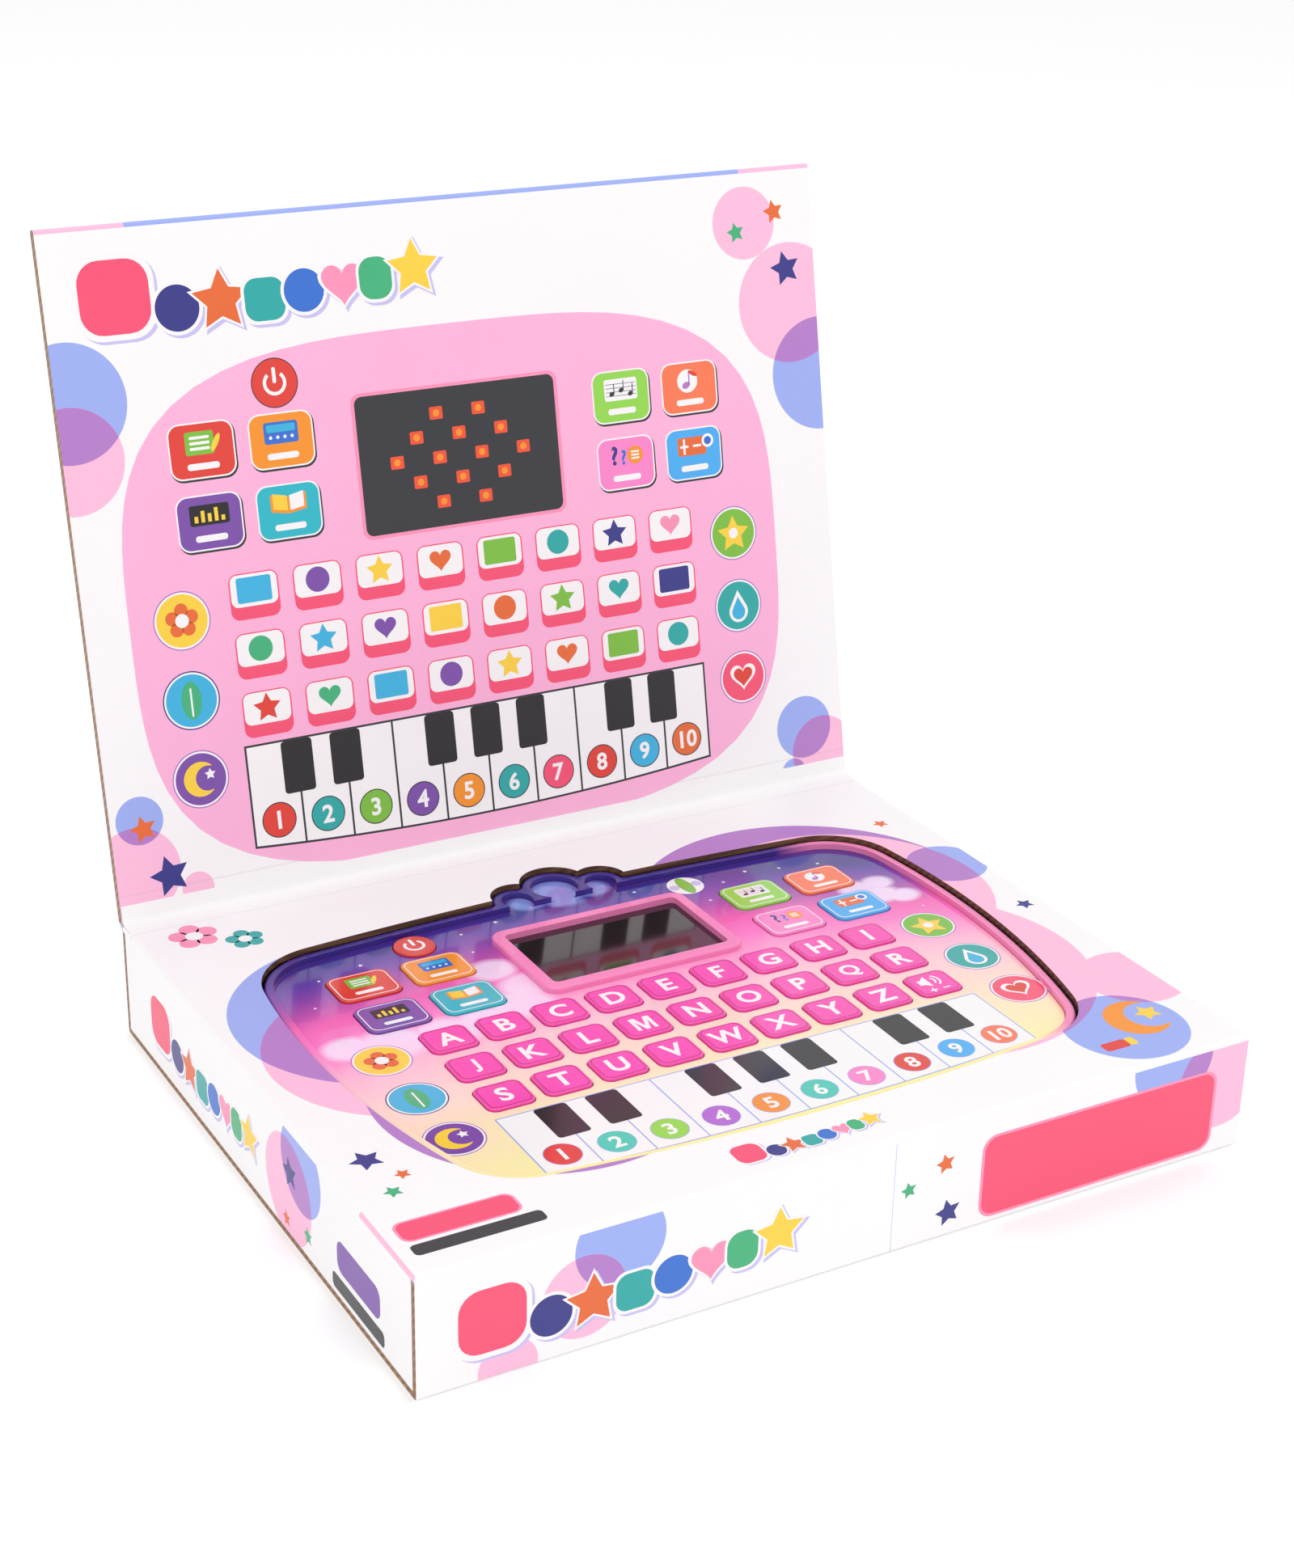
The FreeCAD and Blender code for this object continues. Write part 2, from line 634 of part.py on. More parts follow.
def top_shell():
    body = computer_body("top_shell")
    lobed(pad, body, "split_height", "0", "shell_height - split_height")
    round_edges(body, lobe_valleys, "lobe_valley")
    round_edges(body, at_level(RIM_TOP), "rim_round")
    lobed(pocket, body, RIM_TOP, "-rim_width", "rim_height + film")
    lobed(pocket, body, "split_height", "-wall", f"{DECK_UNDER} - split_height", up=True)
    pad(body, circles(body, DECK_UNDER, CASE_SCREWS, "boss_radius"),
        f"{DECK_UNDER} - split_height - boss_gap", down=True)
    pad(body, circles(body, DECK_UNDER, BOARD_SCREWS, "small_boss_radius"),
        f"{DECK_UNDER} - {CIRCUIT_TOP}", down=True)
    pocket(body, circles(body, "split_height + boss_gap", CASE_SCREWS, "screw_radius + screw_gap"),
           "screw_length", up=True)
    pocket(body, circles(body, CIRCUIT_TOP, BOARD_SCREWS, "screw_radius + screw_gap"),
           "small_screw_length", up=True)
    neck = new_sketch(body, DECK_TOP)
    neck_hole(neck, "neck_gap")
    pocket(body, neck, "deck")
    key_holes(body, DECK_TOP, "key_gap", "deck")
    hole = "plunger_radius + plunger_gap"
    piano = circles(body, DECK_TOP, [(piano_start(), "piano_y")], hole)
    grid(body, pocket(body, piano, "deck"), PIANO_KEYS, "piano_pitch")
    pocket(body, circles(body, DECK_TOP, picture_places(), hole), "deck")


def neck_hole(sketch, gap):
    """Section of the screen frame's neck, moved out by gap."""
    rounded(
        sketch, "0", "screen_y", f"(bezel_width - 2 * bezel_neck + 2 * {gap})",
        f"(bezel_depth - 2 * bezel_neck + 2 * {gap})", f"(bezel_corner - bezel_neck + {gap})",
    )


def face_film():
    body = computer_body("face_film")
    lobed(pad, body, DECK_TOP, "(-rim_width - film_gap)", "film")
    key_holes(body, FILM_TOP, "key_gap", "film")
    neck = new_sketch(body, FILM_TOP)
    neck_hole(neck, "neck_gap")
    pocket(body, neck, "film")


def bottom_shell():
    body = computer_body("bottom_shell")
    inside_lip = "(-wall - lip_gap - lip)"
    lobed(pad, body, "0", "0", "split_height")
    round_edges(body, lobe_valleys, "lobe_valley")
    round_edges(body, at_level("0"), "bottom_round")
    lobed(pad, body, "split_height", "(-wall - lip_gap)", "lip_height")
    lobed(pocket, body, "split_height + lip_height", inside_lip, "lip_height + lip_band")
    lobed(pocket, body, "split_height - lip_band", "-wall", "split_height - lip_band - base_floor")
    pad(body, circles(body, "base_floor", CASE_SCREWS, "post_radius"), "split_height - base_floor")
    pocket(body, circles(body, "0", CASE_SCREWS, "screw_head_radius + head_gap"), "counterbore", up=True)
    pocket(body, circles(body, "counterbore", CASE_SCREWS, "screw_radius + screw_gap"),
           "split_height - counterbore", up=True)
    pocket(body, circles(body, "0", foot_places(), "foot_radius + fit_gap"), "foot_recess", up=True)
    battery_bay(body)
    speaker_seat(body)


def battery_bay(body):
    """Adds the bay for the cells, the ledge for its door and the boss for the door's screw."""
    ledge = new_sketch(body, "base_floor")
    door_outline(ledge, "(ledge_border + door_gap)")
    pad(body, ledge, "ledge")
    box = new_sketch(body, "base_floor")
    bay_section(box, "bay_wall")
    pad(body, box, f"{BAY_ROOF} + bay_wall - base_floor")
    pad(body, circles(body, "base_floor", [DOOR_SCREW], "boss_radius"), "ledge + small_screw_length")
    opening = new_sketch(body)
    door_outline(opening, "door_gap")
    pocket(body, opening, "base_floor", up=True)
    room = new_sketch(body)
    bay_section(room, "0")
    pocket(body, room, BAY_ROOF, up=True)
    pocket(body, circles(body, "base_floor", [DOOR_SCREW], "screw_radius + screw_gap"),
           "small_screw_length", up=True)
    hooks = new_sketch(body, "base_floor")
    door_hooks(hooks, "door_gap")
    pocket(body, hooks, "ledge", up=True)


BAY_HALF_LENGTH = "(cell_length / 2 + cell_end)"
BAY_HALF_DEPTH = f"({CELLS} * cell_diameter / 2 + {(CELLS + 1) / 2} * cell_gap)"
DOOR_LEFT = f"(-{BAY_HALF_LENGTH} - door_ledge)"
DOOR_RIGHT = f"({BAY_HALF_LENGTH} + door_ledge + door_tongue)"
DOOR_DEPTH = f"(2 * {BAY_HALF_DEPTH} + 2 * door_ledge)"
HOOK_WIDTH = "door_tongue / 2"


def bay_section(sketch, grow):
    rectangle(
        sketch, f"-{BAY_HALF_LENGTH} - {grow}", f"{BAY_HALF_LENGTH} + {grow}",
        f"bay_y - {BAY_HALF_DEPTH} - {grow}", f"bay_y + {BAY_HALF_DEPTH} + {grow}",
    )


def door_outline(sketch, grow):
    rounded(
        sketch, f"({DOOR_LEFT} + {DOOR_RIGHT}) / 2", "bay_y",
        f"({DOOR_RIGHT} - {DOOR_LEFT} + 2 * {grow})", f"({DOOR_DEPTH} + 2 * {grow})",
        f"(door_corner + {grow})",
    )


def door_hooks(sketch, grow):
    """The two hooks at the left edge of the door, in slots of the ledge."""
    for side in (1, -1):
        middle = f"bay_y + {side} * {DOOR_DEPTH} / 4"
        rectangle(
            sketch, f"{DOOR_LEFT} - {grow}", f"{DOOR_LEFT} + door_ledge - 2 * door_gap + {grow}",
            f"{middle} - {HOOK_WIDTH} / 2 - {grow}", f"{middle} + {HOOK_WIDTH} / 2 + {grow}",
        )


def battery_door():
    body = computer_body("battery_door")
    plate = new_sketch(body)
    door_outline(plate, "0")
    pad(body, plate, "base_floor")
    hooks = new_sketch(body, "base_floor")
    door_hooks(hooks, "0")
    pad(body, hooks, "ledge")
    pocket(body, circles(body, "0", [DOOR_SCREW], "screw_radius + screw_gap"), "base_floor", up=True)
    pocket(body, circles(body, "0", [DOOR_SCREW], "screw_head_radius + head_gap"), "door_sink", up=True)
    ribs = new_sketch(body)
    rectangle(ribs, "-6 * door_rib", "-5 * door_rib", f"bay_y - {DOOR_DEPTH} / 4", f"bay_y + {DOOR_DEPTH} / 4")
    grid(body, pocket(body, ribs, "door_rib", up=True), 6, "2 * door_rib")


def speaker_seat(body):
    """Adds the ring that the speaker sits on and the grille in the floor under it."""
    ring = new_sketch(body, "base_floor")
    circle(ring, "0", "speaker_y", "speaker_radius")
    circle(ring, "0", "speaker_y", "speaker_radius - speaker_seat")
    pad(body, ring, "speaker_seat_height")
    places = [("0", "speaker_y")]
    for number in range(1, GRILLE_RINGS + 1):
        for step in range(6 * number):
            turn = step * 60.0 / number
            reach = f"{number} * grille_ring"
            places.append((f"{reach} * cos({turn} deg)", f"speaker_y + {reach} * sin({turn} deg)"))
    pocket(body, circles(body, "0", places, "grille_hole"), "base_floor", up=True)


def foot_places():
    rows = ("foot_rear_y", "foot_front_y")
    return [(f"{side} * foot_x", y) for side in (1, -1) for y in rows]


def rubber_feet():
    body = computer_body("rubber_feet")
    pad(body, circles(body, "-foot_height", foot_places(), "foot_radius"), "foot_height + foot_recess")
    round_edges(body, at_level("-foot_height"), "0.4 * foot_height")


# Keys


def key(label, x, y, draw):
    """A key cap with the flange that holds it under the deck; draw(sketch, grow) gives its section."""
    body = computer_body(label, x, y)
    flange = new_sketch(body, FLANGE_UNDER)
    draw(flange, "flange_out")
    pad(body, flange, "flange")
    cap = new_sketch(body, FLANGE_TOP)
    draw(cap, "0")
    pad(body, cap, f"{FILM_TOP} + key_rise - {FLANGE_TOP}")
    round_edges(body, at_level(f"{FILM_TOP} + key_rise"), "key_round")


def block(width, depth, corner):
    def draw(sketch, grow):
        rounded(
            sketch, "0", "0", f"({width} + 2 * {grow})", f"({depth} + 2 * {grow})", f"({corner} + {grow})"
        )

    return draw


def disc(sketch, grow):
    circle(sketch, "0", "0", f"power_radius + {grow}")


def all_keys():
    letter = block("key_width", "key_depth", "key_corner")
    names = [f"key_{character}" for character in LETTERS] + ["key_volume"]
    for index, name in enumerate(names):
        row, column = divmod(index, KEY_COLUMNS)
        x = f"{column - (KEY_COLUMNS - 1) / 2} * key_pitch_x"
        key(name, x, f"key_rear_y - {row} * key_pitch_y", letter)
    mode = block("mode_width", "mode_depth", "mode_corner")
    for name, column, row in MODE_BUTTONS:
        side = 1 if column > 0 else -1
        x = f"{side} * (mode_x + {abs(column) - 1} * mode_pitch_x)"
        key(name, x, f"mode_rear_y - {row} * mode_pitch_y", mode)
    key("button_power", "power_x", "power_y", disc)


# Mat, boards and what is on them


def circuit_outline(sketch, inset):
    half = (
        ("circuit_front_x", "circuit_front_y", -1, 1),
        ("circuit_half_width", "circuit_cheek_y", -1, 1),
        ("circuit_half_width", "circuit_shoulder_y", -1, -1),
        ("circuit_wing_x", "circuit_shoulder_y", -1, -1),
        ("circuit_wing_x", "circuit_rear_y", -1, -1),
        ("circuit_notch_x", "circuit_rear_y", 1, -1),
        ("circuit_notch_x", "circuit_notch_y", 1, -1),
    )
    right = [(f"({x} + {a} * {inset})", f"({y} + {b} * {inset})") for x, y, a, b in half]
    left = [(f"-{x}", y) for x, y in reversed(right)]
    polygon(sketch, right + left)


def key_mat():
    body = computer_body("key_mat")
    base = new_sketch(body, CIRCUIT_TOP)
    circuit_outline(base, "mat_inset")
    pad(body, base, "mat")
    slope = {"draft": "-dome_draft"}
    start = f"-{(KEY_COLUMNS - 1) / 2} * key_pitch_x"
    letters = circles(body, MAT_TOP, [(start, "key_rear_y")], "dome_radius")
    grid(body, pad(body, letters, "dome_height", **slope), KEY_COLUMNS, "key_pitch_x", KEY_ROWS, "key_pitch_y")
    for left in ("-mode_x - mode_pitch_x", "mode_x"):
        mode = circles(body, MAT_TOP, [(left, "mode_rear_y")], "dome_radius")
        grid(body, pad(body, mode, "dome_height", **slope), 2, "mode_pitch_x", 2, "mode_pitch_y")
    power = circles(body, MAT_TOP, [("power_x", "power_y")], "dome_radius")
    pad(body, power, "dome_height", **slope)
    reach = f"{DECK_TOP} - plunger_gap - {MAT_TOP}"
    piano = circles(body, MAT_TOP, [(piano_start(), "piano_y")], "plunger_radius")
    grid(body, pad(body, piano, reach), PIANO_KEYS, "piano_pitch")
    pad(body, circles(body, MAT_TOP, picture_places(), "plunger_radius"), reach)
    pocket(body, circles(body, MAT_TOP, BOARD_SCREWS, "small_boss_radius + fit_gap"), "mat")


def main_board():
    body = computer_body("main_board")
    base = new_sketch(body, CIRCUIT_UNDER)
    circuit_outline(base, "0")
    pad(body, base, "circuit_board")
    pocket(body, circles(body, CIRCUIT_TOP, BOARD_SCREWS, "screw_radius + screw_gap"), "circuit_board")


def board_components():
    """Chip, its potted neighbour, a capacitor and a crystal under the main board."""
    body = computer_body("board_components")
    chip = new_sketch(body, CIRCUIT_UNDER)
    rounded(chip, "-3 * key_pitch_x", "key_rear_y - key_pitch_y", "chip_size", "chip_size", "chip_corner")
    pad(body, chip, "chip_height", down=True)
    potted = circles(body, CIRCUIT_UNDER, [("3 * key_pitch_x", "key_rear_y - key_pitch_y")], "potting_radius")
    pad(body, potted, "potting_height", down=True, draft="-potting_slope")
    place = ("4 * key_pitch_x", "key_rear_y - 2 * key_pitch_y")
    capacitor = circles(body, CIRCUIT_UNDER, [place], "capacitor_radius")
    pad(body, capacitor, "capacitor_height", down=True)
    crystal = new_sketch(body, CIRCUIT_UNDER)
    rounded(
        crystal, "-2 * key_pitch_x", "key_rear_y - 2 * key_pitch_y",
        "crystal_length", "crystal_width", "crystal_corner",
    )
    pad(body, crystal, "crystal_height", down=True)


def screws():
    """Case screws, board screws and the screw of the battery door."""
    body = computer_body("screws")
    groups = (
        (CASE_SCREWS, "counterbore", "screw_length"),
        (BOARD_SCREWS, CIRCUIT_UNDER, "small_screw_length"),
        ([DOOR_SCREW], "door_sink", "small_screw_length"),
    )
    for places, seat, length in groups:
        pad(body, circles(body, seat, places, "screw_head_radius"), "screw_head", down=True)
        pad(body, circles(body, seat, places, "screw_radius"), length)


# Screen


def window_section(sketch, grow):
    """Opening of the screen frame, moved out by grow."""
    rounded(
        sketch, "0", "screen_y", f"(bezel_width - 2 * bezel_frame + 2 * {grow})",
        f"(bezel_depth - 2 * bezel_frame + 2 * {grow})", f"(window_corner + {grow})",
    )


def screen_bezel():
    body = computer_body("screen_bezel")
    neck = new_sketch(body, DECK_UNDER)
    neck_hole(neck, "0")
    pad(body, neck, f"{FILM_TOP} - {DECK_UNDER}")
    frame = new_sketch(body, FILM_TOP)
    rounded(frame, "0", "screen_y", "bezel_width", "bezel_depth", "bezel_corner")
    pad(body, frame, "bezel_rise")
    round_edges(body, at_level(BEZEL_TOP), "bezel_slope")
    opening = new_sketch(body, BEZEL_TOP)
    window_section(opening, "0")
    pocket(body, opening, f"{BEZEL_TOP} - {DECK_UNDER}")
    seat = new_sketch(body, DECK_UNDER)
    window_section(seat, "lens_seat")
    pocket(body, seat, f"{LENS_TOP} - {DECK_UNDER}", up=True)


def screen_window():
    body = computer_body("screen_window")
    sketch = new_sketch(body, f"{LENS_TOP} - lens")
    window_section(sketch, "(lens_seat - lens_gap)")
    pad(body, sketch, "lens")


def led_board():
    body = computer_body("led_board")
    sketch = new_sketch(body, f"{DECK_UNDER} - lamp_board")
    width = "(bezel_width + 2 * lamp_board_border)"
    depth = "(bezel_depth + 2 * lamp_board_border)"
    rounded(sketch, "0", "screen_y", width, depth, "bezel_neck")
    pad(body, sketch, "lamp_board")


def led_lamps():
    body = computer_body("led_lamps")
    sketch = new_sketch(body, DECK_UNDER)
    left = f"-{(LAMP_COLUMNS - 1) / 2} * lamp_pitch"
    rear = f"screen_y + {(LAMP_ROWS - 1) / 2} * lamp_pitch"
    half = "lamp_size / 2"
    rectangle(sketch, f"{left} - {half}", f"{left} + {half}", f"{rear} - {half}", f"{rear} + {half}")
    grid(body, pad(body, sketch, "lamp_height"), LAMP_COLUMNS, "lamp_pitch", LAMP_ROWS, "lamp_pitch")


# Batteries and speaker


def cell_places():
    pitch = "(cell_diameter + cell_gap)"
    return [(f"bay_y + {number - (CELLS - 1) / 2} * {pitch}", CELL_AXIS) for number in range(CELLS)]


def batteries():
    body = computer_body("batteries", x="-cell_length / 2")
    cans = new_sketch(body, role="YZ_Plane")
    knobs = new_sketch(body, "cell_length - cell_knob", role="YZ_Plane")
    for y, z in cell_places():
        circle(cans, y, z, "cell_diameter / 2")
        circle(knobs, y, z, "cell_knob_radius")
    pad(body, cans, "cell_length - cell_knob")
    round_edges(body, lambda edge: edge.Curve.TypeId == "Part::GeomCircle", "cell_round")
    pad(body, knobs, "cell_knob")


def battery_contacts():
    """Bowed contact leaves at both ends of the cells."""
    body = computer_body("battery_contacts")
    low = "base_floor + contact_clear"
    high = f"{BAY_ROOF} - contact_clear"
    for side in (1, -1):
        wall_x = f"{side} * ({BAY_HALF_LENGTH} - contact_gap)"
        plate_x = f"{side} * ({BAY_HALF_LENGTH} - contact_gap - contact)"
        tip = f"{side} * (cell_length / 2 + contact_gap)"
        bow = f"{side} * (cell_length / 2 + contact_gap + contact)"
        for y, z in cell_places():
            sketch = new_sketch(body, f"-({y} + contact_width / 2)", role="XZ_Plane")
            polygon(
                sketch,
                (
                    (wall_x, low), (wall_x, high), (plate_x, high), (tip, f"{z} + contact"),
                    (tip, f"{z} - contact"), (bow, f"{z} - contact"), (bow, f"{z} + contact / 2"),
                    (plate_x, f"{high} - 2 * contact"), (plate_x, low),
                ),
            )
            pad(body, sketch, "contact_width")


def revolve(body, corners):
    """Turns a profile of (radius, height) corners about the upright axis."""
    sketch = new_sketch(body, role="XZ_Plane")
    polygon(sketch, corners)
    feature = body.newObject("PartDesign::Revolution", f"{body.Label}_turn")
    feature.Profile = sketch
    feature.ReferenceAxis = (sketch, ["V_Axis"])
    feature.Angle = 360
    return finish_feature(body, feature)


def speaker_driver():
    """Pressed frame with its rim down on the seat, and the magnet on top."""
    body = computer_body("speaker_driver", y="speaker_y")
    rim = f"({SPEAKER_BASE} + speaker_flange)"
    back = f"({SPEAKER_BASE} + speaker_height - magnet_height)"
    inner = "(speaker_radius - speaker_seat)"
    revolve(
        body,
        (
            (inner, SPEAKER_BASE), ("speaker_radius", SPEAKER_BASE), ("speaker_radius", rim),
            (inner, rim), ("magnet_radius + speaker_flange", back), ("magnet_radius", back),
            ("magnet_radius", f"{back} + magnet_height"), ("0", f"{back} + magnet_height"),
            ("0", f"{back} - speaker_flange"), ("magnet_radius", f"{back} - speaker_flange"),
            (f"{inner} - speaker_flange", rim), (f"{inner} - speaker_flange", SPEAKER_BASE),
        ),
    )


def speaker_cone():
    body = computer_body("speaker_cone", y="speaker_y")
    low = SPEAKER_BASE
    edge = "(speaker_radius - speaker_seat - speaker_flange - fit_gap)"
    top = f"({SPEAKER_BASE} + speaker_height - magnet_height - speaker_flange - 3 * cone_wall)"
    throat = "(magnet_radius / 2)"
    revolve(
        body,
        (
            (f"{edge} - 2 * cone_wall", low), (edge, low), (edge, f"{low} + cone_wall"),
            (throat, f"{top} + cone_wall"), ("0", f"{top} + cone_wall"), ("0", top), (throat, top),
        ),
    )


def build():
    fill_sheet()
    carton_sleeve()
    window_panel()
    end_closure("left_end_closure", -1)
    end_closure("right_end_closure", 1)
    toy_fitment()
    lid_board("lid_inner_board", "0", "0")
    lid_board("lid_outer_board", "lid_board", "2 * lid_board")
    top_shell()
    bottom_shell()
    face_film()
    screen_bezel()
    screen_window()
    led_board()
    led_lamps()
    key_mat()
    main_board()
    board_components()
    screws()
    speaker_driver()
    speaker_cone()
    battery_door()
    batteries()
    battery_contacts()
    rubber_feet()
    all_keys()
    doc.recompute()


def write_parts():
    for item in doc.Objects:
        if "Invalid" in item.State or "Error" in item.State:
            raise RuntimeError(f"{item.Label} failed: {item.State}")
    for part in parts:
        if part.Shape.isNull() or not part.Shape.isValid():
            raise RuntimeError(f"{part.Label} has no valid shape")
    os.makedirs("parts", exist_ok=True)
    for part in parts:
        part.Shape.exportStep(f"parts/{part.Label}.step")
        print(f"{part.Label}: {len(part.Shape.Solids)} solids, {part.Shape.Volume:.0f} mm3")


build()
write_parts()
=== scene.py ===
"""Toy laptop computer: finishes, prints and stage for a learning computer in its lidded carton."""

import json
from functools import partialmethod
from math import copysign, cos, pi, radians, sin, tau

import bmesh
import bpy
from mathutils import Matrix, Vector


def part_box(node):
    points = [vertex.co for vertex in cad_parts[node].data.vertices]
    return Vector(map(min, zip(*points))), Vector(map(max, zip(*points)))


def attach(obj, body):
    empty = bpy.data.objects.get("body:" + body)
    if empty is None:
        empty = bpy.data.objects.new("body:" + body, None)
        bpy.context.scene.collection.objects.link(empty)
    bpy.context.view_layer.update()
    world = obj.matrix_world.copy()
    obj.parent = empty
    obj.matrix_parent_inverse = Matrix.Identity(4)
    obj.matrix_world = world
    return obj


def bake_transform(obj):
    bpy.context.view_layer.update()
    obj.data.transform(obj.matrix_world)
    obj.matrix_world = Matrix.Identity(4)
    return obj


bl_info = {
    "name": "Toy laptop computer",
    "version": (1, 0, 0),
    "blender": (4, 5, 0),
    "location": "3D View > Sidebar > Toy Laptop",
    "description": "Dresses the learning computer, its printed carton and its lid",
    "category": "Object",
}

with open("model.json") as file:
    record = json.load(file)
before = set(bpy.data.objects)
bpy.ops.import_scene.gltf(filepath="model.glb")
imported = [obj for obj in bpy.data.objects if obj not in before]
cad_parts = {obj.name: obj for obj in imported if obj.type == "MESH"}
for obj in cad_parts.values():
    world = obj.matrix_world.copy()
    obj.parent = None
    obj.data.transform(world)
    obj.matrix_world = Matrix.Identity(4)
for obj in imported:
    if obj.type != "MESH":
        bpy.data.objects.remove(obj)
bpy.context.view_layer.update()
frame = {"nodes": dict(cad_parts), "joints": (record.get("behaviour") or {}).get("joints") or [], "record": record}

# Sizes and places, in millimetres
MM = 0.001
PER_METRE = 1000.0
RIGHT, BACK, UP = (1, 0, 0), (0, 1, 0), (0, 0, 1)
CARTON_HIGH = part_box("carton_sleeve")[1]
HALF_WIDTH = CARTON_HIGH[0] / MM
HALF_DEPTH = CARTON_HIGH[1] / MM
PANEL_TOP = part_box("window_panel")[1][2] / MM
FILM_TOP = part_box("face_film")[1][2] / MM
HINGE = next(joint for joint in frame["joints"] if joint["name"] == "carton_lid_hinge")
LID_FOOT = Vector(HINGE["pos_m"]) / MM
LID_OPEN = radians(-HINGE["range_deg"][0])
LID_UP = Vector((0.0, -cos(LID_OPEN), sin(LID_OPEN)))
LID_THICK = 3.4
LID_LENGTH = 221.5
COMPUTER_Y = -7.7
COMPUTER_HALF_WIDTH = 118.0
COMPUTER_HALF_DEPTH = 79.0
BOARD = 2.0
PANEL_SCORE = HALF_DEPTH - 8.0
LID_SCORE = 9.0
PICTURE_X = -4.3
LAYER = 0.015
SUNK = -0.01

HUES = {
    "white": "F8F6F7", "pink": "FABBDA", "rose": "FDB4DA", "magenta": "F74E74",
    "blush": "FA93B8", "periwinkle": "9AACEE", "violet": "B27AC6", "navy": "2E2F86",
    "blue": "2F6FD0", "sky": "35B3E0", "teal": "1FA9A5", "green": "3CB27A",
    "lime": "7CBF3A", "yellow": "FBD23C", "amber": "F7941D", "orange": "E8692C",
    "red": "E23B2E", "plum": "7B4BA8", "lilac": "C9C2F0", "charcoal": "2B2D33",
    "black": "17141A", "lamp": "F0502A", "grey": "8F8B96", "candy": "FA86CB",
    "cherry": "C92C86", "lolly": "FA4AB6", "azure": "46AEF2", "coral": "F9794F",
    "grass": "93D94A", "turquoise": "1FB8C8", "mint": "45C9B8", "orchid": "B264D2",
    # the grey B9B0B8 is painted shade for the scored groove
    # the near-black 1E120C is painted shade for the window's cut walls
    "kraft": "A97B52", "umber": "6E4A30", "cut_edge_shade": "1E120C", "score": "B9B0B8",
    "cloud": "F8E3FD", "haze": "8FA0EC",
}

# Tinted circles on the boards: place on the face, radius and hue
TOP_CIRCLES = (
    (72, 26, 60, "violet"), (84, 24, 49, "pink"), (-88, 24, 47, "periwinkle"), (-92, 0, 42, "pink"),
    (-66, -38, 51, "violet"), (74, -33, 55, "pink"), (109, -91, 20, "periwinkle"), (132, -66, 17, "pink"),
    (128, 30, 14, "periwinkle"),
)
PANEL_SIDE_CIRCLES = ((98, 30, 22, "pink"),)
FRONT_CIRCLES = (
    (-79, 31, 14, "periwinkle"), (-90, 17, 13, "pink"), (-113, 2, 9, "pink"), (111, 37, 15, "periwinkle"),
    (131, 26, 17, "pink"),
)
END_CIRCLES = ((26, 17, 17, "pink"), (36, 29, 14.5, "periwinkle"))
LID_CIRCLES = (
    (-136, 168, 19, "periwinkle"), (-137, 150, 17, "pink"), (112, 203, 12.5, "pink"), (129, 174, 21, "pink"),
    (140, 148, 20, "periwinkle"), (-133, 16, 15, "pink"), (-113, 7, 5.5, "pink"),
    (-130, 33, 8, "periwinkle"), (123.5, 20, 11.5, "periwinkle"), (131, 10, 13, "pink"),
    (118, 4, 5, "periwinkle"),
)

# Stars on the boards: place on the face, radius and hue
PANEL_STARS = (
    (-128, -55, 5.2, "navy"), (-128, -73, 3.0, "green"), (-122, -66, 2.6, "orange"), (133, -8, 3.4, "navy"),
    (126, 68, 3.0, "orange"),
)
FRONT_STARS = ((28, 25, 3.4, "orange"), (15.5, 19.6, 2.8, "green"), (30, 8, 4.6, "navy"))
END_STARS = ((27.6, 23, 5.2, "navy"), (24, 6, 2.8, "orange"), (40, 9, 3.0, "green"))
LID_STARS = (
    (124.5, 206, 4.2, "orange"), (108.6, 200, 3.6, "green"), (128, 186, 6.2, "navy"),
    (-129, 30, 4.6, "orange"), (-122, 13, 7.0, "navy"),
)

# The face's print from front to rear; clouds, puffs in the lobes and sparks: place and radius
DUSK_FRONT = "FEF3A0"
DUSK_REAR = "3A2488"
DUSK = (
    (0.13, "FDF0B0"), (0.27, "FEE7C0"), (0.38, "FEDBCC"), (0.48, "FDCDD4"), (0.55, "FCBCD4"),
    (0.63, "FC9DD0"), (0.70, "F97AC8"), (0.78, "F060B6"), (0.84, "B94FB0"), (0.89, "8C44AC"),
    (0.94, "6034A6"), (0.98, "42288F"),
)
CLOUDS = (
    (-38, 30, 12), (-46, 20, 13), (-60, 15, 12), (-74, 14, 13), (-92, 15, 14), (-105, 18, 10), (-44, 44, 10),
    (98, 34, 9), (105, 30, 7), (93, 41, 8), (102, 42, 7),
)
LOBE_PUFFS = ((0, 87, 10), (-12, 82, 8), (12, 82, 8), (0, 80, 9))
SPARKS = (
    (-96, 62, 0.8), (-80, 66, 1.0), (-42, 71, 0.8), (-28, 74, 1.0), (24, 73, 0.9), (55, 66, 0.8),
    (66, 70, 1.0), (78, 67, 0.8), (92, 64, 0.9), (101, 30, 0.8), (-44, 58, 0.7), (44, 56, 0.8),
    (-104, 46, 0.7), (106, 20, 0.6),
)

